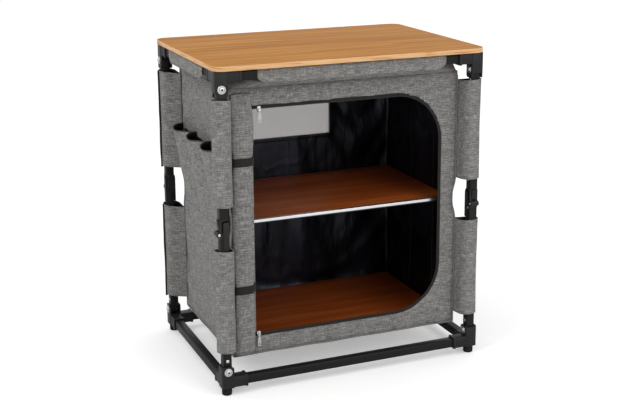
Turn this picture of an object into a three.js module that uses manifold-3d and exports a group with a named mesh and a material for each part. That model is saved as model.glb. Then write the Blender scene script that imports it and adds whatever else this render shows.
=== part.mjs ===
// Folding camp cupboard: a bamboo table top on a square-tube frame whose four legs fold at the knee,
// with a zipped cloth cabinet hung inside the frame. Millimetres, +Z up, +Y to the back, origin on
// the floor under the middle of the table.
import * as THREE from "three";
import { mergeVertices } from "three/addons/utils/BufferGeometryUtils.js";
import Module from "manifold-3d";

const wasm = await Module();
wasm.setup();

// Fits shared by all pieces
const seatGap = 0.3; // between two pieces that touch
const overrun = 2; // how far a cut runs past the face that it opens
const weld = 0.8; // how far two joined shapes of one piece sink into each other

// Table top
const standHeight = 800; // floor to the upper face of the table
const tableLength = 700;
const tableDepth = 500;
const tableThickness = 12;
const tableCornerRadius = 28;
const tableEdgeRound = 1.2;

// Frame tubes
const legInsetX = 20; // table's end to the leg centres
const legInsetY = 24; // table's long edge to the leg centres
const tubeSize = 22;
const tubeWall = 1.2;
const tubeCorner = 3;
const insertLength = 30; // solid insert in a leg's pivot end, measured from the pivot

// Corner hubs: a post with two rail sockets and a clevis for the leg
const hubSize = 31;
const hubCorner = 3;
const armSize = 28;
const armReach = 50; // leg centre to the mouth of a rail socket
const socketStart = 14; // leg centre to the blind end of a rail socket
const pivotRise = 28; // rail centre to the leg's pivot
const cheekChamfer = 6;
const bottomCheekReach = 13; // cheek past the pivot
const bottomWallReach = 10; // outer wall past the pivot
const topCheekReach = 21;
const topWallReach = 9;
const wallStep = 2.5; // how far the cheek is set in above the outer wall

// Pivot screws through the clevises
const screwRadius = 4;
const screwHeadRadius = 8.5;
const screwHeadHeight = 4.4;
const screwHeadRim = 1.6;
const hexRadius = 3.4;
const hexDepth = 2.6;
const nutRadius = 6.5;
const nutHeight = 1.5;

// Feet
const footRadius = 12.5;
const footHeight = 19;
const footSoleRadius = 10.5;
const footSoleRound = 2.5;
const footStudRadius = 7;
const footStudLength = 7;

// Knee: a fork on the upper leg, a tongue on the lower leg, a pin outside the tube and a sprung lever
const kneeOffset = 13; // pin to the leg's centre line, a little over half a tube, so the leg folds flat
const kneeCorner = 2;
const knuckleRadius = 6.5;
const lugWidth = 8; // middle knuckle, on the tongue
const kneePinRadius = 2;
const kneePinHeadRadius = 3.6;
const kneePinHeadHeight = 1.2;
const forkLength = 36; // knee line to the upper tube
const tongueLength = 12; // knee line to the lower tube
const plugLength = 30; // inside each tube
const cheekPlate = 3; // side plates of the tongue
const cheekWidth = 14;
const cheekHeight = 26;
const cheekRound = 4;

// Release lever, hinged just above the knuckle
const leverWidth = 12;
const leverFoot = 8.5; // knee line to the lever's lower end
const leverTop = 34; // knee line to its upper end
const leverProud = 3.2; // how far its upper end stands off the fork
const leverThickness = 4.2;
const leverPivotRise = 11.5;
const leverPivotDepth = 2.4; // under the fork's outer face
const leverPinRadius = 1.2;
const leverPinReach = 2;
const leverPocketDepth = 5;

// Cloth cabinet
const clothThickness = 2;
const cabinetInsetX = 30; // leg centre to the cabinet's end wall
const cabinetInsetY = 31; // leg centre to its front or back wall
const cabinetCorner = 6;
const cabinetFloorHeight = 78; // floor to the underside of the cabinet
const shoulderDrop = 62; // upper face of the table to the top of the upright walls
const headerDrop = 47; // the same to the lower seam of the sleeve round each top rail
const headerEnd = 87; // leg centre to the end of that sleeve
const headerCutLength = 20; // slanted cut at each end of that sleeve
const headerCutHeight = 11;

// Leg sleeves, sewn to the cabinet's upright corners
const sleeveRadius = 18.8;
const sleeveInsetX = 1; // its round centre, inwards of the leg's
const sleeveInsetY = 4;
const sleeveSeam = 12; // cabinet's upright corner to the seam on its side wall
const sleeveFloorGap = 26; // cabinet's underside to a lower sleeve's lower hem
const sleeveKneeDrop = 41.5; // knee to a lower sleeve's upper hem
const sleeveKneeRise = 59.5; // knee to an upper sleeve's lower hem
const sleeveShoulderGap = 17; // an upper sleeve's upper hem to the top of the upright walls

// Door opening and its zip
const doorMarginLeft = 58; // cabinet's corner to the edge along which the door is sewn on
const doorMarginRight = 47;
const doorMarginTop = 48; // top of the upright walls to the zip
const doorMarginBottom = 49; // cabinet's underside to the zip
const doorCornerRadius = 120;
const tapeWidth = 8;
const tapeThickness = 1.2;
const tapeOverlap = 1; // tape past the cloth's cut edge

// Door, rolled up and strapped beside the opening
const rollWidth = 54;
const rollThickness = 22;
const rollCoreWidth = 18;
const rollCoreThickness = 7;
const rollTurns = 2.5;
const rollSteps = 20; // points per turn
const rollInset = 29; // cabinet's corner to the roll's middle
const rollFloorGap = 8; // cabinet's underside to the roll's lower end
const rollShoulderGap = 26; // roll's upper end to the top of the upright walls
const strapWidth = 20;
const strapThickness = 1.5;
const strapCorner = 8;
const strapInset = 173; // each strap's middle to the nearer end of the upright walls

// Zip sliders and their pulls
const upperSliderParked = 15; // end of the zip to the upper slider's middle, with the door open
const lowerSliderParked = 5;
const sliderOffset = 4; // slider's middle inwards of the tape's centre line
const sliderWidth = 9;
const sliderLength = 13;
const sliderWaist = 6;
const sliderChamfer = 2;
const sliderThickness = 4;
const bridgeRadius = 0.9;
const bridgeWidth = 8;
const bridgePost = 1.2;
const bridgeStand = 2.6; // slider face to the bridge's centre
const bridgeDrop = 3; // under the slider's middle
const pullEyeRadius = 2.2;
const pullEyeWidth = 4.6;
const pullLength = 29; // bridge to the pull's lower end
const pullWidth = 9;
const pullNeck = 4.6;
const pullNeckLength = 5;
const pullShoulder = 9; // bridge to the full width
const pullThickness = 1.6;
const pullCorner = 3;
const pullHoleRadius = 2.2;
const pullHoleRise = 5.5; // pull's lower end to its hole

// Back window
const windowLength = 240;
const windowHeight = 132;
const windowDrop = 90; // top of the upright walls to the window's upper edge
const windowCorner = 14;
const windowBorder = 7;
const netThickness = 1.2;

// Pockets along the left wall
const pocketCount = 3;
const pocketMarginBack = 23; // cabinet's back corner to the rear pocket
const pocketMarginFront = 19;
const pocketDrop = 30; // shelf's upper face to the pockets' lower ends
const pocketHeight = 206;
const pocketDepth = 40;
const pocketLean = 0.85; // under 1 puts each bag's widest place nearer its rear seam
const pocketPanel = 1.5;
const pocketPanelAbove = 10; // panel above the pocket mouths

// Boards
const boardClearance = 4; // board edge to the cabinet's cloth
const boardThickness = 12;
const boardCorner = 8;
const shelfRise = 6.5; // knee to the upper face of the shelf
const shelfThickness = 6;
const shelfSetback = 15; // front edge behind the inside of the front wall
const trimHeight = 9;
const trimDepth = 9;
const trimWall = 1;
const ledgeWidth = 22;

// Heights and places that follow from the sizes above
const legX = tableLength / 2 - legInsetX;
const legY = tableDepth / 2 - legInsetY;
const tubeHalf = tubeSize / 2;
const hubHalf = hubSize / 2;
const armHalf = armSize / 2;
const slotHalf = tubeHalf + seatGap;
const bottomRailHeight = footHeight + seatGap + armHalf;
const tableUnderside = standHeight - tableThickness;
const topRailHeight = tableUnderside - seatGap - armHalf;
const bottomPivotHeight = bottomRailHeight + pivotRise;
const topPivotHeight = topRailHeight - pivotRise;
const linkLength = (topPivotHeight - bottomPivotHeight) / 2;
const kneeHeight = bottomPivotHeight + linkLength;
const cabinetX = legX - cabinetInsetX;
const cabinetY = legY - cabinetInsetY;
const cabinetLength = 2 * cabinetX;
const cabinetDepth = 2 * cabinetY;
const shoulderHeight = standHeight - shoulderDrop;
const headerHeight = standHeight - headerDrop;
const lowerSleeveFrom = cabinetFloorHeight + sleeveFloorGap;
const lowerSleeveTo = kneeHeight - sleeveKneeDrop;
const upperSleeveFrom = kneeHeight + sleeveKneeRise;
const upperSleeveTo = shoulderHeight - sleeveShoulderGap;
const frontFace = -cabinetY;
const innerX = cabinetX - clothThickness;
const innerY = cabinetY - clothThickness;
const boardX = innerX - boardClearance;
const boardY = innerY - boardClearance;
const shelfTop = kneeHeight + shelfRise;
const doorLeft = doorMarginLeft - cabinetX;
const doorRight = cabinetX - doorMarginRight;
const doorTop = shoulderHeight - doorMarginTop;
const doorBottom = cabinetFloorHeight + doorMarginBottom;
const rollCentreX = rollInset - cabinetX;
const rollFrom = cabinetFloorHeight + rollFloorGap;
const rollTo = shoulderHeight - rollShoulderGap;
const upperStrapHeight = shoulderHeight - strapInset;
const lowerStrapHeight = cabinetFloorHeight + strapInset;
const upperSliderX = doorLeft + upperSliderParked;
const lowerSliderX = doorLeft + lowerSliderParked;
const windowBottom = shoulderHeight - windowDrop - windowHeight;
const pocketBack = cabinetY - pocketMarginBack;
const pocketPitch = (cabinetDepth - pocketMarginBack - pocketMarginFront) / pocketCount;
const pocketBottom = shelfTop - pocketDrop;
const pocketTop = pocketBottom + pocketHeight;

const materials = {
  bamboo: new THREE.MeshStandardMaterial({ color: "#bf8f55", roughness: 0.5, metalness: 0 }),
  veneer: new THREE.MeshStandardMaterial({ color: "#8f4f27", roughness: 0.45, metalness: 0 }),
  tube: new THREE.MeshStandardMaterial({ color: "#2b2a29", roughness: 0.55, metalness: 0.3 }),
  plastic: new THREE.MeshStandardMaterial({ color: "#303030", roughness: 0.6, metalness: 0 }),
  rubber: new THREE.MeshStandardMaterial({ color: "#262626", roughness: 0.85, metalness: 0 }),
  cloth: new THREE.MeshStandardMaterial({ color: "#7d7c7a", roughness: 0.95, metalness: 0 }),
  webbing: new THREE.MeshStandardMaterial({ color: "#26241f", roughness: 0.9, metalness: 0 }),
  net: new THREE.MeshStandardMaterial({ color: "#b4b4b2", roughness: 0.9, metalness: 0 }),
  nickel: new THREE.MeshStandardMaterial({ color: "#c2c3c2", roughness: 0.3, metalness: 1 }),
  aluminium: new THREE.MeshStandardMaterial({ color: "#d6d7d8", roughness: 0.35, metalness: 1 }),
};

const cupboard = new THREE.Group();

// Solids from three.js geometry
function toSolid(geometry) {
  geometry.deleteAttribute("normal");
  geometry.deleteAttribute("uv");
  const merged = mergeVertices(geometry);
  const corners = merged.index.array;
  const kept = [];
  for (let i = 0; i < corners.length; i += 3) {
    const [a, b, c] = corners.slice(i, i + 3);
    if (a !== b && b !== c && c !== a) kept.push(a, b, c);
  }
  return new wasm.Manifold(
    new wasm.Mesh({
      numProp: 3,
      vertProperties: new Float32Array(merged.attributes.position.array),
      triVerts: new Uint32Array(kept),
    }),
  );
}

function addPiece(parent, name, solid, material) {
  const { vertProperties, triVerts } = solid.getMesh();
  const geometry = new THREE.BufferGeometry();
  geometry.setAttribute("position", new THREE.BufferAttribute(vertProperties, 3));
  geometry.setIndex(new THREE.BufferAttribute(triVerts, 1));
  geometry.computeVertexNormals();
  const mesh = new THREE.Mesh(geometry, material);
  mesh.name = name;
  parent.add(mesh);
  return mesh;
}

const unitX = new THREE.Vector3(1, 0, 0);
const unitY = new THREE.Vector3(0, 1, 0);
const unitZ = new THREE.Vector3(0, 0, 1);
const planes = {
  x: new THREE.Matrix4().makeBasis(unitY, unitZ, unitX), // outline in y and z
  y: new THREE.Matrix4().makeBasis(unitX, unitZ, unitY.clone().negate()), // outline in x and z
  z: new THREE.Matrix4(), // outline in x and y
};

// An outline drawn square to an axis and carried along it.
function prism(axis, outline, from, to, arcSteps = 8) {
  const depth = to - from;
  const geometry = new THREE.ExtrudeGeometry(outline, {
    depth,
    bevelEnabled: false,
    curveSegments: arcSteps,
  });
  geometry.translate(0, 0, axis === "y" ? -to : from);
  return toSolid(geometry.applyMatrix4(planes[axis]));
}

function outlineOf(points) {
  return new THREE.Shape(points.map(([a, b]) => new THREE.Vector2(a, b)));
}

function disc(radius, a = 0, b = 0) {
  return new THREE.Shape().absarc(a, b, radius, 0, 2 * Math.PI);
}

function roundedRectangle(width, height, radius, a = 0, b = 0) {
  const right = a + width / 2 - radius;
  const left = a - width / 2 + radius;
  const top = b + height / 2 - radius;
  const bottom = b - height / 2 + radius;
  const outline = new THREE.Shape();
  outline.absarc(right, top, radius, 0, Math.PI / 2);
  outline.absarc(left, top, radius, Math.PI / 2, Math.PI);
  outline.absarc(left, bottom, radius, Math.PI, 1.5 * Math.PI);
  outline.absarc(right, bottom, radius, 1.5 * Math.PI, 2 * Math.PI);
  outline.closePath();
  return outline;
}

function block([x0, x1], [y0, y1], [z0, z1]) {
  const geometry = new THREE.BoxGeometry(x1 - x0, y1 - y0, z1 - z0);
  return toSolid(geometry.translate((x0 + x1) / 2, (y0 + y1) / 2, (z0 + z1) / 2));
}

function joined(...solids) {
  return solids.reduce((whole, solid) => whole.add(solid));
}

// A closed solid between two grids of points, front(u, v) and back(u, v), with its rim.
function between(front, back, columns, rows) {
  const positions = [];
  const index = [];
  const across = columns + 1;
  const layer = across * (rows + 1);
  [front, back].forEach((point) => {
    for (let j = 0; j <= rows; j++) {
      for (let i = 0; i <= columns; i++) positions.push(...point(i / columns, j / rows));
    }
  });
  const quad = (a, b, c, d) => index.push(a, b, c, a, c, d);
  const at = (i, j) => j * across + i;
  for (let j = 0; j < rows; j++) {
    for (let i = 0; i < columns; i++) {
      const [a, b, c, d] = [at(i, j), at(i + 1, j), at(i + 1, j + 1), at(i, j + 1)];
      quad(a, b, c, d);
      quad(layer + a, layer + d, layer + c, layer + b);
    }
    quad(at(0, j + 1), layer + at(0, j + 1), layer + at(0, j), at(0, j));
    quad(at(columns, j), layer + at(columns, j), layer + at(columns, j + 1), at(columns, j + 1));
  }
  for (let i = 0; i < columns; i++) {
    quad(at(i, 0), layer + at(i, 0), layer + at(i + 1, 0), at(i + 1, 0));
    quad(at(i + 1, rows), layer + at(i + 1, rows), layer + at(i, rows), at(i, rows));
  }
  const geometry = new THREE.BufferGeometry();
  geometry.setAttribute("position", new THREE.BufferAttribute(new Float32Array(positions), 3));
  return toSolid(geometry.setIndex(index));
}

// Square tube, and the leg tube with its round pivot end
const tubeOutline = () => roundedRectangle(tubeSize, tubeSize, tubeCorner);
const boreSize = tubeSize - 2 * tubeWall;
const boreOutline = () => roundedRectangle(boreSize, boreSize, tubeCorner - tubeWall);
const tubeArcSteps = 1;

function railTube(axis, from, to) {
  const outside = prism(axis, tubeOutline(), from, to, tubeArcSteps);
  const bore = prism(axis, boreOutline(), from - overrun, to + overrun, tubeArcSteps);
  return outside.subtract(bore);
}

// The pivot is at the origin and the tube runs up from it to its open end.
function legTube(reach) {
  const side = new THREE.Shape();
  side.moveTo(tubeHalf, reach);
  side.lineTo(-tubeHalf, reach);
  side.lineTo(-tubeHalf, 0);
  side.absarc(0, 0, tubeHalf, Math.PI, 2 * Math.PI);
  side.closePath();
  return prism("y", side, -tubeHalf, tubeHalf)
    .intersect(prism("z", tubeOutline(), -tubeSize, reach + overrun, tubeArcSteps))
    .subtract(prism("z", boreOutline(), insertLength, reach + overrun, tubeArcSteps))
    .subtract(prism("y", disc(screwRadius + seatGap), -tubeSize, tubeSize));
}

// Pivot screw along Y between the outer faces of the two cheeks, its head on one side and its nut on
// the other
function pivotScrew() {
  const round = screwHeadHeight - screwHeadRim;
  const dome = new THREE.Shape();
  dome.moveTo(0, -weld);
  dome.lineTo(screwHeadRadius, -weld);
  dome.lineTo(screwHeadRadius, screwHeadRim);
  dome.quadraticCurveTo(screwHeadRadius, screwHeadHeight, screwHeadRadius - round, screwHeadHeight);
  dome.lineTo(0, screwHeadHeight);
  const head = toSolid(new THREE.LatheGeometry(dome.getPoints(3), 20)).subtract(
    toSolid(
      new THREE.CylinderGeometry(hexRadius, hexRadius, 2 * hexDepth, 6).translate(0, screwHeadHeight, 0),
    ),
  );
  return joined(
    head.translate([0, hubHalf, 0]),
    prism("y", disc(screwRadius), -hubHalf, hubHalf, 6),
    prism("y", disc(nutRadius), -hubHalf - nutHeight, -hubHalf + weld, 3),
  );
}

// Corner hub with its origin at the rails' centre height, its arms along +X and +Y, and its clevis
// upwards. The leg folds towards +X, so the clevis is open there and closed on the far side.
function hub(cheekReach, wallReach, screwSide) {
  const floor = pivotRise - slotHalf;
  const cheekTop = pivotRise + cheekReach;
  const wallTop = pivotRise + wallReach;
  const arm = roundedRectangle(armSize, armSize, hubCorner);
  const socketSize = 2 * slotHalf;
  const socket = roundedRectangle(socketSize, socketSize, tubeCorner);
  const cheek = outlineOf([
    [-hubHalf, -armHalf],
    [hubHalf, -armHalf],
    [hubHalf, cheekTop - cheekChamfer],
    [hubHalf - cheekChamfer, cheekTop],
    [wallStep - hubHalf, cheekTop],
    [wallStep - hubHalf, wallTop],
    [-hubHalf, wallTop],
  ]);
  const slot = block([-slotHalf, hubSize], [-slotHalf, slotHalf], [floor, cheekTop + overrun]);
  const back = block([-hubSize, -slotHalf + overrun], [-slotHalf, slotHalf], [wallTop, cheekTop + overrun]);
  const post = roundedRectangle(hubSize, hubSize, hubCorner);
  const screw = pivotScrew().rotate([0, 0, screwSide > 0 ? 0 : 180]).translate([0, 0, pivotRise]);
  return prism("y", cheek, -hubHalf, hubHalf)
    .intersect(prism("z", post, -hubSize, cheekTop + overrun, tubeArcSteps))
    .subtract(slot)
    .subtract(back)
    .add(prism("x", arm, -hubHalf + weld, armReach, tubeArcSteps))
    .add(prism("y", arm, -hubHalf + weld, armReach, tubeArcSteps))
    .subtract(prism("x", socket, socketStart, armReach + overrun, tubeArcSteps))
    .subtract(prism("y", socket, socketStart, armReach + overrun, tubeArcSteps))
    .add(screw);
}

function footSocket() {
  return prism("z", disc(footStudRadius + seatGap), -armHalf - overrun, footStudLength + seatGap - armHalf);
}

function foot() {
  const profile = new THREE.Path();
  profile.moveTo(0, 0);
  profile.lineTo(footSoleRadius, 0);
  profile.quadraticCurveTo(footRadius, 0, footRadius, footSoleRound);
  profile.lineTo(footRadius, footHeight);
  profile.lineTo(footStudRadius, footHeight);
  profile.lineTo(footStudRadius, footHeight + footStudLength);
  profile.lineTo(0, footHeight + footStudLength);
  return toSolid(new THREE.LatheGeometry(profile.getPoints(3), 24).rotateX(Math.PI / 2));
}

// Knee castings, with their origin on the leg's centre line at the knee and the pin towards -X
const kneeFaceGap = seatGap / 2;
const coreHalf = tubeHalf - cheekPlate - seatGap;
const cheekEdge = tubeHalf - cheekWidth;
const lugHalf = lugWidth / 2;
const plugSize = boreSize - 2 * seatGap;
const plugOutline = () => roundedRectangle(plugSize, plugSize, kneeCorner);
const wholeKnee = [-tubeHalf, tubeHalf];

function aboutPin(radius, from, to) {
  return prism("y", disc(radius, -kneeOffset, 0), from, to);
}

function leverPocket() {
  const floorX = leverPocketDepth - tubeHalf;
  const half = leverWidth / 2 + seatGap;
  const from = leverFoot - seatGap - leverPinRadius;
  return block([-tubeSize, floorX], [-half, half], [from, forkLength - leverPinRadius]);
}

function leverPin(reach, radius) {
  const half = leverWidth / 2 + reach;
  return prism("y", disc(radius, leverPivotDepth - tubeHalf, leverPivotRise), -half, half, 4);
}

function kneeFork() {
  const outer = block([-tubeHalf, cheekEdge - seatGap], wholeKnee, [kneeFaceGap, forkLength]);
  const core = block(wholeKnee, [-coreHalf, coreHalf], [kneeFaceGap, forkLength]);
  const head = block(wholeKnee, wholeKnee, [cheekHeight + seatGap, forkLength]);
  const pinReach = tubeHalf + kneePinHeadHeight;
  const ears = aboutPin(knuckleRadius, -tubeHalf, tubeHalf);
  const lugRoom = aboutPin(knuckleRadius + seatGap, -lugHalf - seatGap, lugHalf + seatGap);
  return joined(outer, core, head)
    .add(prism("z", plugOutline(), forkLength - weld, forkLength + plugLength, tubeArcSteps))
    .add(ears)
    .subtract(lugRoom)
    .add(aboutPin(kneePinRadius, -pinReach, pinReach))
    .add(aboutPin(kneePinHeadRadius, tubeHalf - weld, pinReach))
    .add(aboutPin(kneePinHeadRadius, -pinReach, weld - tubeHalf))
    .subtract(leverPocket())
    .subtract(leverPin(leverPinReach + seatGap, leverPinRadius + seatGap));
}

function kneeTongue() {
  const collar = block(wholeKnee, wholeKnee, [-tongueLength, -kneeFaceGap]);
  const sidePlate = roundedRectangle(
    cheekWidth,
    cheekHeight + tongueLength,
    cheekRound,
    (cheekEdge + tubeHalf) / 2,
    (cheekHeight - tongueLength) / 2,
  );
  const plates = prism("y", sidePlate, -tubeHalf, tubeHalf, 2).subtract(
    block(
      wholeKnee,
      [-coreHalf - seatGap, coreHalf + seatGap],
      [-tongueLength - overrun, cheekHeight + overrun],
    ),
  );
  const web = block([-kneeOffset, weld - tubeHalf], [-lugHalf, lugHalf], [-knuckleRadius, -kneeFaceGap]);
  const earRoom = knuckleRadius + seatGap;
  return joined(collar, plates)
    .add(prism("z", plugOutline(), -tongueLength - plugLength, weld - tongueLength, tubeArcSteps))
    .subtract(aboutPin(earRoom, lugHalf, tubeSize))
    .subtract(aboutPin(earRoom, -tubeSize, -lugHalf))
    .add(web)
    .add(aboutPin(knuckleRadius, -lugHalf, lugHalf))
    .subtract(aboutPin(kneePinRadius + seatGap, -tubeSize, tubeSize));
}

function releaseLever() {
  const face = -tubeHalf;
  const half = leverWidth / 2;
  const side = outlineOf([
    [face, leverFoot],
    [face + leverThickness, leverFoot],
    [face + leverThickness, leverPivotRise + leverPivotDepth],
    [face + leverThickness - leverProud, leverTop],
    [face - leverProud, leverTop],
    [face - leverProud, leverTop - leverThickness],
  ]);
  return prism("y", side, -half, half).add(leverPin(leverPinReach, leverPinRadius));
}

// The four corners follow each other round the frame by quarter turns, so every leg folds along
// another side. screwSide says which way the pivot screws' heads look.
const corners = [
  { name: "front_left", x: -legX, y: -legY, turn: 0, screwSide: -1 },
  { name: "front_right", x: legX, y: -legY, turn: 1, screwSide: 1 },
  { name: "back_right", x: legX, y: legY, turn: 2, screwSide: 1 },
  { name: "back_left", x: -legX, y: legY, turn: 3, screwSide: -1 },
];

corners.forEach(({ name, x, y, turn, screwSide }) => {
  const corner = new THREE.Group();
  corner.position.set(x, y, 0);
  corner.rotation.z = (turn * Math.PI) / 2;
  cupboard.add(corner);
  const add = (piece, solid, material, height) => {
    const mesh = addPiece(corner, `${piece}_${name}`, solid, material);
    mesh.position.z = height;
    return mesh;
  };
  add("foot", foot(), materials.rubber, 0);
  const bottomHub = hub(bottomCheekReach, bottomWallReach, screwSide).subtract(footSocket());
  add("bottom_hub", bottomHub, materials.plastic, bottomRailHeight);
  add("lower_leg", legTube(linkLength - tongueLength - seatGap), materials.tube, bottomPivotHeight);
  add("knee_tongue", kneeTongue(), materials.plastic, kneeHeight);
  add("knee_fork", kneeFork(), materials.plastic, kneeHeight);
  add("release_lever", releaseLever(), materials.plastic, kneeHeight);
  const upperLeg = legTube(linkLength - forkLength - seatGap);
  add("upper_leg", upperLeg, materials.tube, topPivotHeight).rotation.y = Math.PI;
  const topHub = hub(topCheekReach, topWallReach, screwSide);
  add("top_hub", topHub, materials.plastic, topRailHeight).scale.z = -1;
});

// Rails, with their ends in the hubs' sockets
[
  { level: "bottom", height: bottomRailHeight },
  { level: "top", height: topRailHeight },
].forEach(({ level, height }) => {
  const endX = legX - socketStart - seatGap;
  const endY = legY - socketStart - seatGap;
  [
    { side: "front", axis: "x", end: endX, place: [0, -legY] },
    { side: "right", axis: "y", end: endY, place: [legX, 0] },
    { side: "back", axis: "x", end: endX, place: [0, legY] },
    { side: "left", axis: "y", end: endY, place: [-legX, 0] },
  ].forEach(({ side, axis, end, place }) => {
    const rail = addPiece(cupboard, `${level}_rail_${side}`, railTube(axis, -end, end), materials.tube);
    rail.position.set(...place, height);
  });
});

// Table top, lying on the top hubs
function tableTop() {
  const outline = roundedRectangle(
    tableLength - 2 * tableEdgeRound,
    tableDepth - 2 * tableEdgeRound,
    tableCornerRadius - tableEdgeRound,
  );
  const geometry = new THREE.ExtrudeGeometry(outline, {
    depth: tableThickness - 2 * tableEdgeRound,
    bevelEnabled: true,
    bevelSize: tableEdgeRound,
    bevelThickness: tableEdgeRound,
    bevelSegments: 2,
    curveSegments: 4,
  });
  return toSolid(geometry.translate(0, 0, tableUnderside + tableEdgeRound));
}

addPiece(cupboard, "table_top", tableTop(), materials.bamboo);

// Boards and the shelf with its edge profile
function plank(frontY, thickness, top) {
  const depth = boardY - frontY;
  const outline = roundedRectangle(2 * boardX, depth, boardCorner, 0, frontY + depth / 2);
  return prism("z", outline, top - thickness, top, 2);
}

const boardTop = cabinetFloorHeight + clothThickness + seatGap + boardThickness;
const shelfFrontY = shelfSetback - innerY;
const ledgeTop = shelfTop - shelfThickness - seatGap;

function shelfTrim() {
  const middle = shelfTop - shelfThickness / 2;
  const mouth = shelfThickness / 2 + seatGap;
  const outside = block(
    [-boardX, boardX],
    [shelfFrontY - seatGap - trimWall, shelfFrontY + trimDepth],
    [middle - trimHeight / 2, middle + trimHeight / 2],
  );
  const edgeRoom = block(
    [-cabinetX, cabinetX],
    [shelfFrontY - seatGap, shelfFrontY + trimDepth + overrun],
    [middle - mouth, middle + mouth],
  );
  return outside.subtract(edgeRoom);
}

function shelfLedge() {
  const outerX = innerX - seatGap;
  const outerY = innerY - seatGap;
  const frontY = shelfFrontY + trimDepth + ledgeWidth;
  const depth = outerY - frontY;
  const outline = roundedRectangle(2 * outerX, depth, cabinetCorner, 0, frontY + depth / 2);
  const plate = prism("z", outline, ledgeTop - clothThickness, ledgeTop, 2);
  const middle = block(
    [ledgeWidth - outerX, outerX - ledgeWidth],
    [frontY - overrun, outerY - ledgeWidth],
    [ledgeTop - clothThickness - overrun, ledgeTop + overrun],
  );
  return plate.subtract(middle);
}

addPiece(cupboard, "bottom_board", plank(-boardY, boardThickness, boardTop), materials.veneer);
addPiece(cupboard, "shelf_board", plank(shelfFrontY, shelfThickness, shelfTop), materials.veneer);
addPiece(cupboard, "shelf_edge_profile", shelfTrim(), materials.aluminium);
addPiece(cupboard, "shelf_ledge", shelfLedge(), materials.webbing);

// The door opening, a D with its round corners on the right. grow moves its edge outwards.
const arcX = doorRight - doorCornerRadius;

function doorOutline(left, grow) {
  const radius = doorCornerRadius + grow;
  const outline = new THREE.Shape();
  outline.moveTo(left, doorBottom - grow);
  outline.lineTo(arcX, doorBottom - grow);
  outline.absarc(arcX, doorBottom + doorCornerRadius, radius, -Math.PI / 2, 0);
  outline.absarc(arcX, doorTop - doorCornerRadius, radius, 0, Math.PI / 2);
  outline.lineTo(left, doorTop + grow);
  outline.closePath();
  return outline;
}

// Sleeve round the back top rail, as seen from the table's middle: a closed loop of cloth whose lower
// ends are cut on the slant. The other sides are the same, turned.
function railSleeve(railPlace, end) {
  const inside = tubeHalf + seatGap;
  const outside = inside + clothThickness;
  const low = headerHeight - topRailHeight;
  const loop = outlineOf([
    [-outside, low],
    [outside, low],
    [outside, outside],
    [-outside, outside],
  ]);
  loop.holes.push(
    outlineOf([
      [-inside, low + clothThickness],
      [inside, low + clothThickness],
      [inside, inside],
      [-inside, inside],
    ]),
  );
  const slant = (sign) =>
    outlineOf([
      [sign * (end - headerCutLength), low - overrun],
      [sign * (end + overrun), low - overrun],
      [sign * (end + overrun), low + headerCutHeight],
      [sign * end, low + headerCutHeight],
      [sign * (end - headerCutLength), low],
    ]);
  return prism("x", loop, -end, end)
    .subtract(prism("y", slant(1), -tubeSize, tubeSize))
    .subtract(prism("y", slant(-1), -tubeSize, tubeSize))
    .translate([0, railPlace, topRailHeight]);
}

// Slanted cloth from the lower seam of that sleeve in to the top of the upright wall below it
function shoulder(railPlace, end, wallPlace, wallEnd) {
  const { lerp } = THREE.MathUtils;
  const seam = railPlace - tubeHalf;
  const point = (drop) => (u, v) => [
    (2 * u - 1) * lerp(wallEnd, end, v),
    lerp(wallPlace - clothThickness / 2, seam + clothThickness / 2, v),
    lerp(shoulderHeight - weld, headerHeight + clothThickness, v) - drop,
  ];
  return between(point(0), point(clothThickness), 1, 1);
}

// Sleeve round a leg: a loop of cloth drawn in to the cabinet's upright corner
function legSleeve(signX, signY, from, to) {
  const centre = [signX * (legX - sleeveInsetX), signY * (legY - sleeveInsetY)];
  const seam = [signX * (cabinetX - clothThickness / 2), signY * (cabinetY - sleeveSeam)];
  const toSeam = Math.atan2(seam[1] - centre[1], seam[0] - centre[0]);
  const reach = Math.hypot(seam[0] - centre[0], seam[1] - centre[1]);
  const drop = (radius, tip) => {
    const open = Math.acos(radius / tip);
    const at = (distance, angle) => [
      centre[0] + distance * Math.cos(angle),
      centre[1] + distance * Math.sin(angle),
    ];
    const outline = new THREE.Shape();
    outline.moveTo(...at(tip, toSeam));
    outline.lineTo(...at(radius, toSeam + open));
    outline.absarc(...centre, radius, toSeam + open, toSeam + 2 * Math.PI - open);
    outline.closePath();
    return outline;
  };
  return prism("z", drop(sleeveRadius + clothThickness, reach + clothThickness), from, to, 8).subtract(
    prism("z", drop(sleeveRadius, reach - clothThickness), from - overrun, to + overrun, 8),
  );
}

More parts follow.
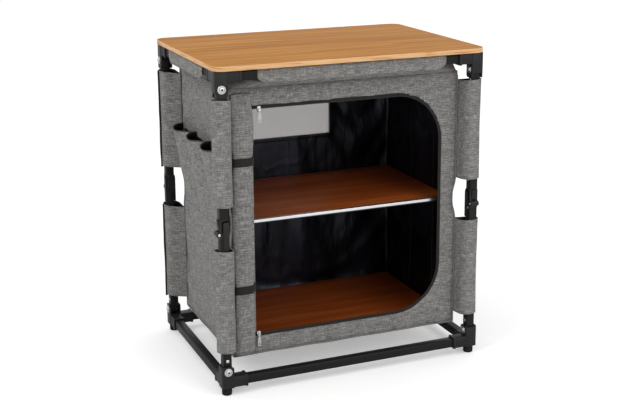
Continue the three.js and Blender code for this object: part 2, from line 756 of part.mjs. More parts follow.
function cabinet() {
  const walls = (inset) =>
    roundedRectangle(cabinetLength - 2 * inset, cabinetDepth - 2 * inset, cabinetCorner - inset);
  const floorTop = cabinetFloorHeight + clothThickness;
  const frontCut = prism("y", doorOutline(doorLeft, -tapeWidth / 2 + tapeOverlap), -cabinetDepth, 0, 6);
  const windowCut = prism(
    "y",
    roundedRectangle(windowLength, windowHeight, windowCorner, 0, windowBottom + windowHeight / 2),
    0,
    cabinetDepth,
    2,
  );
  let cloth = prism("z", walls(0), cabinetFloorHeight, shoulderHeight, 1)
    .subtract(prism("z", walls(clothThickness), floorTop, shoulderHeight + overrun, 1))
    .subtract(frontCut)
    .subtract(windowCut);
  const endX = legX - headerEnd;
  const endY = legY - headerEnd;
  const sides = [
    { turn: 0, rail: legY, end: endX, wall: cabinetY, wallEnd: cabinetX - cabinetCorner },
    { turn: 90, rail: legX, end: endY, wall: cabinetX, wallEnd: cabinetY - cabinetCorner },
    { turn: 180, rail: legY, end: endX, wall: cabinetY, wallEnd: cabinetX - cabinetCorner },
    { turn: 270, rail: legX, end: endY, wall: cabinetX, wallEnd: cabinetY - cabinetCorner },
  ];
  sides.forEach(({ turn, rail, end, wall, wallEnd }) => {
    const slope = shoulder(rail, end - headerCutLength, wall, wallEnd).rotate([0, 0, turn]);
    cloth = cloth.add(slope).add(railSleeve(rail, end).rotate([0, 0, turn]));
  });
  corners.forEach(({ x, y }) => {
    cloth = cloth
      .add(legSleeve(Math.sign(x), Math.sign(y), lowerSleeveFrom, lowerSleeveTo))
      .add(legSleeve(Math.sign(x), Math.sign(y), upperSleeveFrom, upperSleeveTo));
  });
  return cloth;
}

addPiece(cupboard, "cloth_cabinet", cabinet(), materials.cloth);

// Net window inside the back wall
function windowNet() {
  const face = innerY - seatGap;
  const outline = roundedRectangle(
    windowLength + 2 * windowBorder,
    windowHeight + 2 * windowBorder,
    windowCorner + windowBorder,
    0,
    windowBottom + windowHeight / 2,
  );
  return prism("y", outline, face - netThickness, face, 2);
}

addPiece(cupboard, "window_net", windowNet(), materials.net);

// Pockets: a panel on the left wall with a row of open bags, widest at the mouth and tapering down to it
function sidePockets() {
  const face = -cabinetX - seatGap;
  const front = pocketBack - pocketCount * pocketPitch;
  const panelTop = pocketTop + pocketPanelAbove;
  const panel = block([face - pocketPanel, face], [front, pocketBack], [pocketBottom, panelTop]);
  const bag = (offset) => (u, v) => {
    const across = Math.sin(Math.PI * ((u * pocketCount) % 1) ** pocketLean);
    const bulge = pocketDepth * Math.sqrt(across) * v;
    const y = THREE.MathUtils.lerp(pocketBack, front, u);
    const z = THREE.MathUtils.lerp(pocketBottom, pocketTop, v);
    return [face - pocketPanel / 2 - bulge - offset, y, z];
  };
  return panel.add(between(bag(pocketPanel), bag(0), pocketCount * 10, 6));
}

addPiece(cupboard, "side_pockets", sidePockets(), materials.cloth);

// Rolled door: one strip of cloth wound flat round itself
const rollCentreY = frontFace - seatGap - rollThickness / 2;

function rolledDoor() {
  const total = Math.round(rollTurns * rollSteps);
  const path = (offset) =>
    Array.from({ length: total + 1 }, (_, i) => {
      const share = i / total;
      const angle = Math.PI / 2 + (i / rollSteps) * 2 * Math.PI;
      const halfWidth = THREE.MathUtils.lerp(rollWidth, rollCoreWidth, share) / 2 - offset;
      const halfDepth = THREE.MathUtils.lerp(rollThickness, rollCoreThickness, share) / 2 - offset;
      return [rollCentreX + halfWidth * Math.cos(angle), rollCentreY + halfDepth * Math.sin(angle)];
    });
  const strip = outlineOf([...path(0), ...path(clothThickness).reverse()]);
  return prism("z", strip, rollFrom, rollTo);
}

function doorStrap(height) {
  const clear = seatGap;
  const inside = (grow) => {
    const width = rollWidth + 2 * (clear + grow);
    const depth = 2 * (rollThickness + clear + grow);
    return roundedRectangle(width, depth, strapCorner + grow, rollCentreX, frontFace - seatGap);
  };
  const wallSide = block(
    [rollCentreX - rollWidth, rollCentreX + rollWidth],
    [frontFace - seatGap, 0],
    [height - strapWidth, height + strapWidth],
  );
  return prism("z", inside(strapThickness), height - strapWidth / 2, height + strapWidth / 2, 2)
    .subtract(prism("z", inside(0), height - strapWidth, height + strapWidth, 2))
    .subtract(wallSide);
}

addPiece(cupboard, "rolled_door", rolledDoor(), materials.cloth);
addPiece(cupboard, "door_strap_upper", doorStrap(upperStrapHeight), materials.webbing);
addPiece(cupboard, "door_strap_lower", doorStrap(lowerStrapHeight), materials.webbing);

// Zip tape round the opening in three lengths: along the top, round the right side and along the
// bottom
const tapeBack = frontFace - seatGap;
const tapeFront = tapeBack - tapeThickness;

function zipTape([x0, x1], [z0, z1]) {
  const half = tapeWidth / 2;
  const opening = doorOutline(doorLeft - overrun, -half);
  return prism("y", doorOutline(doorLeft, half), tapeFront, tapeBack, 6)
    .subtract(prism("y", opening, tapeFront - overrun, tapeBack + overrun, 6))
    .intersect(block([x0, x1], [tapeFront - overrun, tapeBack + overrun], [z0, z1]));
}

const tapeStart = doorLeft - overrun;
const tapeEnd = doorRight + tapeWidth;
const tapeSplit = arcX - seatGap / 2;
const doorMiddle = (doorTop + doorBottom) / 2;
const upperHalf = [doorMiddle, doorTop + tapeWidth];
const lowerHalf = [doorBottom - tapeWidth, doorMiddle];
const bothHalves = [doorBottom - tapeWidth, doorTop + tapeWidth];
addPiece(cupboard, "zip_tape_top", zipTape([tapeStart, tapeSplit], upperHalf), materials.webbing);
addPiece(cupboard, "zip_tape_side", zipTape([arcX + seatGap / 2, tapeEnd], bothHalves), materials.webbing);
addPiece(cupboard, "zip_tape_bottom", zipTape([tapeStart, tapeSplit], lowerHalf), materials.webbing);

// Zip slider in front of its tape, with the bridge that the pull hangs on
const sliderBack = tapeFront - seatGap;
const sliderFace = sliderBack - sliderThickness;
const bridgeY = sliderFace - bridgeStand;

function zipSlider() {
  const top = sliderLength / 2;
  const shield = outlineOf([
    [-sliderWaist / 2, -top],
    [sliderWaist / 2, -top],
    [sliderWidth / 2, 0],
    [sliderWidth / 2, top - sliderChamfer],
    [sliderWidth / 2 - sliderChamfer, top],
    [sliderChamfer - sliderWidth / 2, top],
    [-sliderWidth / 2, top - sliderChamfer],
    [-sliderWidth / 2, 0],
  ]);
  const end = bridgeWidth / 2;
  const bar = prism("x", disc(bridgeRadius, bridgeY, -bridgeDrop), -end, end, 4);
  const height = [-bridgeDrop - bridgeRadius, bridgeRadius - bridgeDrop];
  const depth = [bridgeY, sliderFace + weld];
  return joined(
    prism("y", shield, sliderFace, sliderBack),
    bar,
    block([-end, bridgePost - end], depth, height),
    block([end - bridgePost, end], depth, height),
  );
}

// The pull hangs from its eye, which is at the origin.
function zipPull() {
  const boreRadius = bridgeRadius + seatGap;
  const root = -(boreRadius + pullEyeRadius) / 2;
  const end = pullEyeWidth / 2;
  const neck = pullNeck / 2;
  const wide = pullWidth / 2;
  const outline = new THREE.Shape();
  outline.moveTo(-neck, root);
  outline.lineTo(-neck, -pullNeckLength);
  outline.lineTo(-wide, -pullShoulder);
  outline.absarc(pullCorner - wide, pullCorner - pullLength, pullCorner, Math.PI, 1.5 * Math.PI);
  outline.absarc(wide - pullCorner, pullCorner - pullLength, pullCorner, 1.5 * Math.PI, 2 * Math.PI);
  outline.lineTo(wide, -pullShoulder);
  outline.lineTo(neck, -pullNeckLength);
  outline.lineTo(neck, root);
  outline.closePath();
  outline.holes.push(disc(pullHoleRadius, 0, pullHoleRise - pullLength));
  return prism("x", disc(pullEyeRadius), -end, end, 4)
    .subtract(prism("x", disc(boreRadius), -end - overrun, end + overrun, 4))
    .add(prism("y", outline, -pullThickness / 2, pullThickness / 2, 3));
}

[
  { name: "upper", x: upperSliderX, z: doorTop - sliderOffset },
  { name: "lower", x: lowerSliderX, z: doorBottom + sliderOffset },
].forEach(({ name, x, z }) => {
  const slider = addPiece(cupboard, `zip_slider_${name}`, zipSlider(), materials.nickel);
  slider.position.set(x, 0, z);
  const pull = addPiece(cupboard, `zip_pull_${name}`, zipPull(), materials.nickel);
  pull.position.set(x, bridgeY, z - bridgeDrop);
});

export default cupboard;
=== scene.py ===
"""Folding camp cupboard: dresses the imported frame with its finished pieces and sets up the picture."""

import math

import bmesh
import bpy
from bpy.props import FloatProperty, FloatVectorProperty, IntProperty, PointerProperty
from mathutils import Matrix, Vector, noise


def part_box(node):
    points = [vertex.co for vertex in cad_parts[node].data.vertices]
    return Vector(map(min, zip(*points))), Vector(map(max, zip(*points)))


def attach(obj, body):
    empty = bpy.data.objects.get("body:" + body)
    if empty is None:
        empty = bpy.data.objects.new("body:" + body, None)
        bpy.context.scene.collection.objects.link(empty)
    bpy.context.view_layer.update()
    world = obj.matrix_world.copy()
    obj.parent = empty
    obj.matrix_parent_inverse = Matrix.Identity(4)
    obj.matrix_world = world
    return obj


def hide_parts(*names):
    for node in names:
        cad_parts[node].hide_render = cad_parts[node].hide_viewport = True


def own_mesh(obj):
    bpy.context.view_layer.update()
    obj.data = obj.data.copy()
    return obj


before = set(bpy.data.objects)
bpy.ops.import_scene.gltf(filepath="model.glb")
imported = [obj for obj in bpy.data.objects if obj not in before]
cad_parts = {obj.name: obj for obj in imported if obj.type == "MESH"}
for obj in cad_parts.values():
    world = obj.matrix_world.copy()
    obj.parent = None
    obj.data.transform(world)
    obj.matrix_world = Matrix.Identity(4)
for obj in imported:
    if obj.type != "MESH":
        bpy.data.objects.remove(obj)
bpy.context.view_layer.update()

bl_info = {
    "name": "Folding Camp Cupboard",
    "version": (1, 0, 0),
    "blender": (4, 5, 0),
    "location": "View3D > Sidebar > Cupboard",
    "description": "Builds the visible pieces of a folding camp cupboard on its packed frame",
    "category": "Add Mesh",
}

MM = 0.001
CORNERS = {"front_left": 0, "front_right": 1, "back_right": 2, "back_left": 3}
SIDES = ("front", "right", "back", "left")

# Places on the object, in millimetres, as the frame's solids have them
LEG_X, LEG_Y = 330, 226
PIVOT_LOW, PIVOT_HIGH, KNEE = 61.3, 745.7, 403.5
HUB_HALF, TUBE_HALF, RAIL_LOW_Z, RAIL_TOP_Z = 15.5, 11, 33.3, 773.7
BOX_X, BOX_Y, FLOOR_Z, WALL_TOP, HEADER_Z = 300, 195, 78, 738, 753
DOOR_LEFT, DOOR_RIGHT, DOOR_TOP, DOOR_BOTTOM, DOOR_RADIUS = -242, 253, 690, 127, 120
ROLL_X, ROLL_LOW, ROLL_HIGH = -271, 86, 712
SLEEVES = {"lower": (104, 362), "upper": (463, 721)}
WINDOW = (-120, 120, 516, 648)
# The shelf's edge profile is aluminium above this height; below it, its faces take the dark nylon as painted
# shade under its nose
PROFILE_SPLIT = 405.3
SHELF_SEAM = 402
LINING_SEAMS = (48, -80)
# The wall's cloth reaches this far into the opening, under the zip's tape
DOOR_RIM = 3

GIRTH, WALL_HEIGHT = 4 * (BOX_X + BOX_Y), WALL_TOP - FLOOR_Z
DOOR_TURN_X, DOOR_MIDDLE = DOOR_RIGHT - DOOR_RADIUS, (DOOR_TOP + DOOR_BOTTOM) / 2

FOLD = {"joint": "fold", "axis": (0, 0, 1), "anchor": (0, 0, 0.08), "keep": 0.1102}
# The upper sleeves pack together under the top hubs; the pockets and the roll also tuck in behind a leg
SLEEVE_FOLD = {"joint": "fold", "axis": (0, 0, 1), "anchor": (0, 0, 0.0935), "keep": 0.0496}
POCKET_FOLD = {"joint": "fold", "axis": (-0.054, 0, 0.99854), "anchor": (-0.3, 0, 0.0945), "keep": 0.1102}
DOOR_FOLD = {"joint": "fold", "axis": (0, -0.009, 0.99996), "anchor": (0, -0.2, 0.08), "keep": 0.1102}

# The made materials by their short names, and the three that a lined sheet shows: face, back and rim
LOOKS = {}
LINED = "cloth lining webbing"


# Colours and node trees
def linear(hex_colour, alpha=1.0):
    """A shader colour from an sRGB hex value."""
    parts = [int(hex_colour[i : i + 2], 16) / 255 for i in (1, 3, 5)]
    return [c / 12.92 if c <= 0.04045 else ((c + 0.055) / 1.055) ** 2.4 for c in parts] + [alpha]


def add(tree, kind, links=None, stops=(), feeds=None, **settings):
    """Adds a node with its settings. links maps an input's name or number to a value, a node or an
    output, stops are a colour ramp's places and colours, and feeds is the input that it goes to."""
    node = tree.nodes.new("ShaderNode" + kind)
    for name, value in settings.items():
        setattr(node, name, value)
    for key, value in (links or {}).items():
        if isinstance(value, bpy.types.Node):
            value = value.outputs[0]
        if isinstance(value, bpy.types.NodeSocket):
            tree.links.new(value, node.inputs[key])
        else:
            node.inputs[key].default_value = value
    for index, (place, colour) in enumerate(stops):
        band = node.color_ramp.elements
        stop = band[index] if index < 2 else band.new(place)
        stop.position, stop.color = place, linear(colour)
    if feeds:
        tree.links.new(node.outputs[0], feeds)
    return node


def material(name, colour, roughness, metallic=0.0, **sockets):
    """A material with one Principled shader; returns it with its tree and the shader's inputs."""
    made = bpy.data.materials.new(name)
    made.use_nodes = True
    tree = made.node_tree
    inputs = tree.nodes["Principled BSDF"].inputs
    inputs["Base Color"].default_value = linear(colour)
    inputs["Roughness"].default_value = roughness
    inputs["Metallic"].default_value = metallic
    for socket, value in sockets.items():
        inputs[socket.replace("_", " ")].default_value = value
    return made, tree, inputs


def pitch(*sizes):
    """A mapping's scale for a pattern with these sizes in mm, along two axes or three."""
    return (*(1000 / size for size in sizes), 1)[:3]


def finishes():
    """Every material of the cupboard, by a short name."""
    return {
        "cloth": melange_cloth(),
        "lining": coated_lining(),
        "webbing": webbing(),
        "net": net(),
        "bamboo": bamboo(),
        "bamboo_edge": bamboo_edge(),
        "veneer": veneer(),
        "tube": powder_coat(),
        "nylon": moulded_nylon(),
        "rubber": moulded_rubber(),
        "nickel": plated("Steel, nickel plated", "#D4D3D0", 0.24),
        "zinc": plated("Zinc, die cast and plated", "#BDBCB8", 0.32),
        "aluminium": extruded_aluminium(),
        # Painted shade: a near-black plate that darkens the slot round each knee's cover
        "slot_shade": material("Painted shade, knee slot", "#050505", 0.75, Specular_IOR_Level=0.05)[0],
        "coil": material("Nylon coil, woven in", "#131313", 0.45)[0],
        "thread": material("Polyester sewing thread", "#454442", 0.9)[0],
    }


def melange_cloth():
    """Polyester plain weave of mixed grey fibres: matt, with short light and dark slubs along the weft
    and fainter ones down the warp. The slubs are 20 mm long and 2.3 mm high, about three yarns, since
    a single yarn is too fine to show."""
    sheen = {"Specular_IOR_Level": 0.18, "Sheen_Weight": 0.06, "Sheen_Roughness": 0.6}
    made, tree, inputs = material("Melange polyester, woven", "#787674", 0.95, **sheen)
    place = add(tree, "TexCoord").outputs["UV"]
    grains = []
    for origin, size, detail, roughness in (
        ((0, 0, 0), (20, 2.3), 3.0, 0.62),
        ((3, 1, 0), (3, 16), 2.0, 0.6),
        ((7, 5, 0), (5, 0.8), 2.0, 0.6),
        ((0, 0, 0), (55, 14), 2.0, 0.5),
    ):
        spot = add(tree, "Mapping", {"Vector": place, "Location": origin, "Scale": pitch(*size)})
        look = {"Vector": spot, "Scale": 1.0, "Detail": detail, "Roughness": roughness}
        grains.append(add(tree, "TexNoise", look))
    weft, warp, yarn, shade = grains
    grid = add(tree, "Math", {0: warp, 1: 0.5, 2: weft}, operation="MULTIPLY_ADD")
    fine = add(tree, "Math", {0: yarn, 1: 0.6, 2: grid}, operation="MULTIPLY_ADD")
    whole = add(tree, "Math", {0: shade, 1: 0.22, 2: fine}, operation="MULTIPLY_ADD")
    spread = add(tree, "MapRange", {"Value": whole, "From Min": 0.86, "From Max": 1.44})
    tones = [(0.0, "#4E4D4B"), (0.5, "#7B7977"), (1.0, "#ABAAA7")]
    add(tree, "ValToRGB", {"Fac": spread}, tones, inputs["Base Color"])
    add(tree, "Bump", {"Height": fine, "Distance": 0.0004, "Strength": 0.5}, feeds=inputs["Normal"])
    return made


def coated_lining():
    """Polyester with a calendered PVC coating: nearly black, with its base colour painted a little lighter
    and bluer along soft leaning folds 115 mm apart as a painted sheen, with short creases between them and
    the sharper lines, 230 mm apart, that it was packed along."""
    gloss = {"Specular_IOR_Level": 0.34, "Specular_Tint": (0.78, 0.84, 1.0, 1.0)}
    made, tree, inputs = material("PVC-coated polyester, calendered", "#06060A", 0.33, **gloss)
    place = add(tree, "TexCoord").outputs["Object"]
    lean = add(tree, "Mapping", {"Vector": place, "Rotation": (0.25, 0.45, 0), "Scale": pitch(115, 115, 270)})
    folds = add(tree, "TexNoise", {"Vector": lean, "Scale": 1.0, "Detail": 1.2, "Roughness": 0.4})
    short = add(tree, "Mapping", {"Vector": place, "Rotation": (0.3, 0.5, 0.2), "Scale": pitch(30, 30, 70)})
    creases = add(tree, "TexNoise", {"Vector": short, "Scale": 1.0, "Detail": 2.0})
    first = add(tree, "Bump", {"Height": folds, "Distance": 0.03, "Strength": 0.9})
    second = add(tree, "Bump", {"Height": creases, "Distance": 0.006, "Strength": 0.45, "Normal": first})
    bent = add(tree, "VectorMath", {0: creases, 1: (0.05, 0.05, 0.05), 2: place}, operation="MULTIPLY_ADD")
    pleats = add(tree, "TexVoronoi", {"Vector": bent, "Scale": 1000 / 230}, feature="DISTANCE_TO_EDGE")
    fall = {"Value": pleats.outputs["Distance"], "From Max": 0.05, "To Min": 1.0, "To Max": 0.0}
    last = {"Height": add(tree, "MapRange", fall), "Distance": 0.002, "Strength": 0.25, "Normal": second}
    add(tree, "Bump", last, feeds=inputs["Normal"])
    # Painted sheen: the base colour runs from near black to a pale blue grey where the fold noise is high
    add(tree, "ValToRGB", {"Fac": folds}, [(0.48, "#040407"), (0.68, "#171821")], inputs["Base Color"])
    return made


def webbing():
    """Polyester webbing and binding, woven black: matt, with ribs 2.2 mm apart across the tape and a
    finer grain from the weave."""
    sheen = {"Specular_IOR_Level": 0.3, "Sheen_Weight": 0.05}
    made, tree, inputs = material("Polyester webbing, woven", "#1F1D1B", 0.88, **sheen)
    source = add(tree, "TexCoord")
    along = add(tree, "Mapping", {"Vector": source.outputs["UV"], "Scale": pitch(2.2, 2.2)})
    # A band repeats after 0.314 of a unit over its scale
    bands = {"wave_type": "BANDS", "bands_direction": "Y"}
    ribs = add(tree, "TexWave", {"Vector": along, "Scale": 0.31, "Distortion": 0.6}, **bands)
    weave = add(tree, "TexNoise", {"Vector": source.outputs["Object"], "Scale": 1000 / 1.4, "Detail": 2.0})
    first = add(tree, "Bump", {"Height": ribs, "Distance": 0.0004, "Strength": 0.6})
    second = {"Height": weave, "Distance": 0.0004, "Strength": 0.5, "Normal": first}
    add(tree, "Bump", second, feeds=inputs["Normal"])
    add(tree, "ValToRGB", {"Fac": weave}, [(0.3, "#181715"), (0.7, "#2A2825")], inputs["Base Color"])
    return made


def net():
    """Polyester net, knitted: pale threads 2 mm apart on a square mesh, with light between them."""
    made, tree, inputs = material("Polyester net, knitted", "#DADAD7", 0.9, Specular_IOR_Level=0.2)
    place = add(tree, "TexCoord").outputs["Object"]
    across, upward = (
        add(tree, "TexWave", {"Vector": place, "Scale": 160.0}, wave_type="BANDS", bands_direction=axis)
        for axis in ("X", "Z")
    )
    thread = add(tree, "Math", {0: across, 1: upward}, operation="MAXIMUM")
    cover = {"Value": thread, "From Min": 0.5, "From Max": 0.85, "To Min": 0.3, "To Max": 0.78}
    add(tree, "MapRange", cover, feeds=inputs["Alpha"])
    return made


def bamboo():
    """Carbonised bamboo strips, pressed and oiled: honey brown, strips 20 mm wide and 620 mm long along
    X, each of its own tone, with fibres 1.4 mm wide along them."""
    made, tree, inputs = material("Bamboo strips, pressed and oiled", "#B57D42", 0.55, Specular_IOR_Level=0.04)
    place = add(tree, "TexCoord").outputs["Object"]
    board = add(tree, "Mapping", {"Vector": place, "Location": (0.45, 0.01, 0)})
    laid = {
        "Vector": board,
        "Color1": (0, 0, 0, 1),
        "Color2": (1, 1, 1, 1),
        "Mortar": (0.5, 0.5, 0.5, 1),
        "Scale": 1.0,
        "Mortar Size": 0.0,
        "Brick Width": 0.62,
        "Row Height": 0.02,
    }
    strips = add(tree, "TexBrick", laid, offset=0.37, squash=1.0)
    thin = add(tree, "Mapping", {"Vector": place, "Scale": pitch(150, 1.4)})
    fibre = add(tree, "TexNoise", {"Vector": thin, "Scale": 1.0, "Detail": 4.0, "Roughness": 0.68})
    wide = add(tree, "Mapping", {"Vector": place, "Location": (5, 2, 0), "Scale": pitch(380, 13)})
    broad = add(tree, "TexNoise", {"Vector": wide, "Scale": 1.0, "Detail": 2.0})
    tone = add(tree, "Math", {0: strips, 1: 0.16, 2: fibre}, operation="MULTIPLY_ADD")
    whole = add(tree, "Math", {0: broad, 1: 0.8, 2: tone}, operation="MULTIPLY_ADD")
    spread = add(tree, "MapRange", {"Value": whole, "From Min": 0.7, "From Max": 1.26})
    tones = [(0.0, "#925D27"), (0.5, "#AB7539"), (1.0, "#C08A49")]
    add(tree, "ValToRGB", {"Fac": spread}, tones, inputs["Base Color"])
    add(tree, "Bump", {"Height": fibre, "Distance": 0.0001, "Strength": 0.3}, feeds=inputs["Normal"])
    return made


def bamboo_edge():
    """The sawn edge of the same board: paler, with strips of two tones, 60 mm long and 5 mm high."""
    made, tree, inputs = material("Bamboo strips, sawn edge", "#DDAA6E", 0.5, Specular_IOR_Level=0.2)
    place = add(tree, "TexCoord").outputs["Object"]
    strip = add(tree, "Mapping", {"Vector": place, "Scale": pitch(60, 60, 5)})
    blocks = add(tree, "TexNoise", {"Vector": strip, "Scale": 1.0, "Detail": 1.0})
    thin = add(tree, "Mapping", {"Vector": place, "Scale": pitch(9, 9, 0.8)})
    fibre = add(tree, "TexNoise", {"Vector": thin, "Scale": 1.0, "Detail": 2.0})
    both = add(tree, "Math", {0: fibre, 1: 0.25, 2: blocks}, operation="MULTIPLY_ADD")
    tones = [(0.38, "#BF8650"), (0.52, "#DDAA76"), (0.85, "#E9BE90")]
    add(tree, "ValToRGB", {"Fac": both}, tones, inputs["Base Color"])
    return made


def veneer():
    """Red-brown wood veneer, stained and lacquered: satin, with its grain along X, 3 mm wide."""
    name = "Wood veneer, stained and lacquered"
    made, tree, inputs = material(name, "#96491C", 0.38, Specular_IOR_Level=0.16)
    place = add(tree, "TexCoord").outputs["Object"]
    thin = add(tree, "Mapping", {"Vector": place, "Scale": pitch(220, 3, 3)})
    fibre = add(tree, "TexNoise", {"Vector": thin, "Scale": 1.0, "Detail": 4.0, "Roughness": 0.65})
    wide = add(tree, "Mapping", {"Vector": place, "Location": (1, 7, 0), "Scale": pitch(500, 34)})
    broad = add(tree, "TexNoise", {"Vector": wide, "Scale": 1.0, "Detail": 2.0})
    both = add(tree, "Math", {0: broad, 1: 0.8, 2: fibre}, operation="MULTIPLY_ADD")
    spread = add(tree, "MapRange", {"Value": both, "From Min": 0.6, "From Max": 1.25})
    tones = [(0.0, "#6E2E0E"), (0.5, "#96491C"), (1.0, "#BA682E")]
    add(tree, "ValToRGB", {"Fac": spread}, tones, inputs["Base Color"])
    add(tree, "Bump", {"Height": fibre, "Distance": 0.0001, "Strength": 0.25}, feeds=inputs["Normal"])
    return made


def powder_coat():
    """Steel tube, powder coated black: satin, with a fine orange peel 0.7 mm across."""
    made, tree, inputs = material("Steel, powder coated", "#181716", 0.45, Specular_IOR_Level=0.2)
    place = add(tree, "TexCoord").outputs["Object"]
    peel = add(tree, "TexNoise", {"Vector": place, "Scale": 1000 / 0.7, "Detail": 2.0})
    add(tree, "Bump", {"Height": peel, "Distance": 0.0001, "Strength": 0.35}, feeds=inputs["Normal"])
    return made


def moulded_nylon():
    """Glass-filled nylon, moulded: black with a fine spark-eroded grain, 1 mm across, and paler where
    the grain stands up."""
    made, tree, inputs = material("Glass-filled nylon, moulded", "#191919", 0.46, Specular_IOR_Level=0.3)
    place = add(tree, "TexCoord").outputs["Object"]
    grain = add(tree, "TexNoise", {"Vector": place, "Scale": 1000 / 1.1, "Detail": 3.0})
    add(tree, "Bump", {"Height": grain, "Distance": 0.00015, "Strength": 0.5}, feeds=inputs["Normal"])
    add(tree, "ValToRGB", {"Fac": grain}, [(0.35, "#161616"), (0.7, "#1E1E1E")], inputs["Base Color"])
    return made


def moulded_rubber():
    """Rubber, moulded: dull black, dusty where it was dropped from the mould."""
    made, tree, inputs = material("Rubber, moulded", "#1A1A1A", 0.85, Specular_IOR_Level=0.25)
    place = add(tree, "TexCoord").outputs["Object"]
    dust = add(tree, "TexNoise", {"Vector": place, "Scale": 1000 / 6, "Detail": 3.0})
    add(tree, "ValToRGB", {"Fac": dust}, [(0.35, "#171717"), (0.75, "#262524")], inputs["Base Color"])
    return made


def plated(name, colour, roughness):
    """A plated metal: bright, with faint wear that breaks its gloss over 2 mm."""
    made, tree, inputs = material(name, colour, roughness, 1.0)
    place = add(tree, "TexCoord").outputs["Object"]
    wear = add(tree, "TexNoise", {"Vector": place, "Scale": 1000 / 2, "Detail": 2.0})
    gloss = {"Value": wear, "To Min": roughness - 0.04, "To Max": roughness + 0.06}
    add(tree, "MapRange", gloss, feeds=inputs["Roughness"])
    return made


def extruded_aluminium():
    """Aluminium, extruded and anodised: pale satin with faint die lines along X, 0.5 mm apart."""
    made, tree, inputs = material("Aluminium, extruded and anodised", "#E4E6E9", 0.3, 1.0)
    place = add(tree, "TexCoord").outputs["Object"]
    drawn = add(tree, "Mapping", {"Vector": place, "Scale": pitch(250, 0.5, 0.5)})
    lines = add(tree, "TexNoise", {"Vector": drawn, "Scale": 1.0, "Detail": 2.0})
    add(tree, "Bump", {"Height": lines, "Distance": 0.0001, "Strength": 0.3}, feeds=inputs["Normal"])
    return made


# Meshes
def finish_piece(bm, name, looks, body, replaces=(), smooth=40, squash=None):
    """Makes the bmesh an object with its materials, its place on the frame and its shading. looks are
    the materials' short names with spaces between them."""
    mesh = bpy.data.meshes.new(name)
    bm.to_mesh(mesh)
    bm.free()
    piece = bpy.data.objects.new(name, mesh)
    bpy.context.collection.objects.link(piece)
    for look in looks.split():
        mesh.materials.append(LOOKS[look])
    if smooth:
        mesh.shade_smooth()
        mesh.set_sharp_from_angle(angle=math.radians(smooth))
    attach(piece, body)
    if squash:
        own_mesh(piece)
    if replaces:
        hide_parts(*replaces)
    return piece


def signs(corner):
    """Which side of the middle a corner is on, along X and along Y."""
    return (1 if "right" in corner else -1), (1 if "back" in corner else -1)


def corner_matrix(corner):
    """From a corner's own axes, the leg's centre line with the fold towards +X, to the row frame."""
    sign_x, sign_y = signs(corner)
    place = Matrix.Translation((sign_x * LEG_X * MM, sign_y * LEG_Y * MM, 0))
    return place @ Matrix.Rotation(CORNERS[corner] * math.pi / 2, 4, "Z")


def cad_bmesh(node):
    """A merged copy of a frame solid, with flat faces for its coplanar triangles."""
    bm = bmesh.new()
    bm.from_mesh(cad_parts[node].data)
    bmesh.ops.remove_doubles(bm, verts=bm.verts, dist=1e-6)
    bmesh.ops.dissolve_limit(bm, angle_limit=math.radians(1), verts=bm.verts, edges=bm.edges)
    return bm


def block(bm, place, centre, size):
    """A block of this size round centre, both in mm, in the axes of place; returns its vertices."""
    shape = Matrix.Translation(Vector(centre) * MM) @ Matrix.Diagonal((*(Vector(size) * MM), 1))
    return bmesh.ops.create_cube(bm, size=1.0, matrix=place @ shape)["verts"]


def bevel(bm, geom, width, segments, affect="EDGES", clamp=False):
    """Rounds edges, or a flat sheet's corners, by a width in metres."""
    shape = {"offset_type": "OFFSET", "profile": 0.5, "material": -1, "clamp_overlap": clamp}
    bmesh.ops.bevel(bm, geom=geom, offset=width, segments=segments, affect=affect, **shape)


def round_edges(bm, width, segments=2, angle=28, keep=lambda edge: True):
    """Rounds the edges that turn by more than angle degrees and that keep lets through."""
    sharp = [e for e in bm.edges if e.is_manifold and e.calc_face_angle() > math.radians(angle) and keep(e)]
    bevel(bm, sharp, width, segments, clamp=True)
    bmesh.ops.remove_doubles(bm, verts=bm.verts, dist=2e-6)


def spin_profile(bm, points, axis, centre, steps):
    """Turns a profile of (radius, height) points in mm round an axis through centre, in mm."""
    axis = Vector(axis).normalized()
    side = axis.orthogonal().normalized()
    centre = Vector(centre) * MM
    verts = [bm.verts.new(centre + (side * r + axis * h) * MM) for r, h in points]
    edges = [bm.edges.new(pair) for pair in zip(verts, verts[1:])]
    before = set(bm.faces)
    turned = {"cent": centre, "axis": axis, "angle": 2 * math.pi, "steps": steps}
    bmesh.ops.spin(bm, geom=verts + edges, use_merge=True, use_duplicate=False, **turned)
    made = [f for f in bm.faces if f not in before]
    # Points on the axis come out up to 1e-7 apart by rounding, so the distance is ten times that
    bmesh.ops.remove_doubles(bm, verts=list(dict.fromkeys(v for f in made for v in f.verts)), dist=1e-6)
    made = [f for f in bm.faces if f not in before]
    bmesh.ops.recalc_face_normals(bm, faces=made)
    return made


def dome_head(bm, centre, axis, radius, height, rim, hex_radius=0.0, hex_depth=0.0):
    """A domed screw head, with a hex socket where hex_radius is given."""
    arc = [(0, 0), (radius, 0), (radius, rim)]
    inner, steps, chamfer = hex_radius * 1.12, 7, 0.25
    for i in range(1, steps + 1):
        turn = i / steps * math.pi / 2
        reach = radius - (radius - inner) * (1 - math.cos(turn))
        arc.append((reach, rim + (height - rim) * math.sin(turn)))
    if hex_radius:
        floor = height - hex_depth
        arc += [(hex_radius, height - chamfer), (hex_radius, floor), (0, floor)]
    else:
        arc += [(0, height)]
    return spin_profile(bm, arc, axis, centre, 36)


def sheet_grid(columns, rows, place, size):
    """A grid sheet whose points place(u, v) gives in mm; its UV map is in metres of cloth."""
    bm = bmesh.new()
    bmesh.ops.create_grid(bm, x_segments=columns, y_segments=rows, size=0.5)
    uv = bm.loops.layers.uv.new("Cloth")
    for face in bm.faces:
        for loop in face.loops:
            u, v = loop.vert.co.x + 0.5, loop.vert.co.y + 0.5
            loop[uv].uv = (u * size[0], v * size[1])
    for vert in bm.verts:
        vert.co = Vector(place(vert.co.x + 0.5, vert.co.y + 0.5)) * MM
    return bm


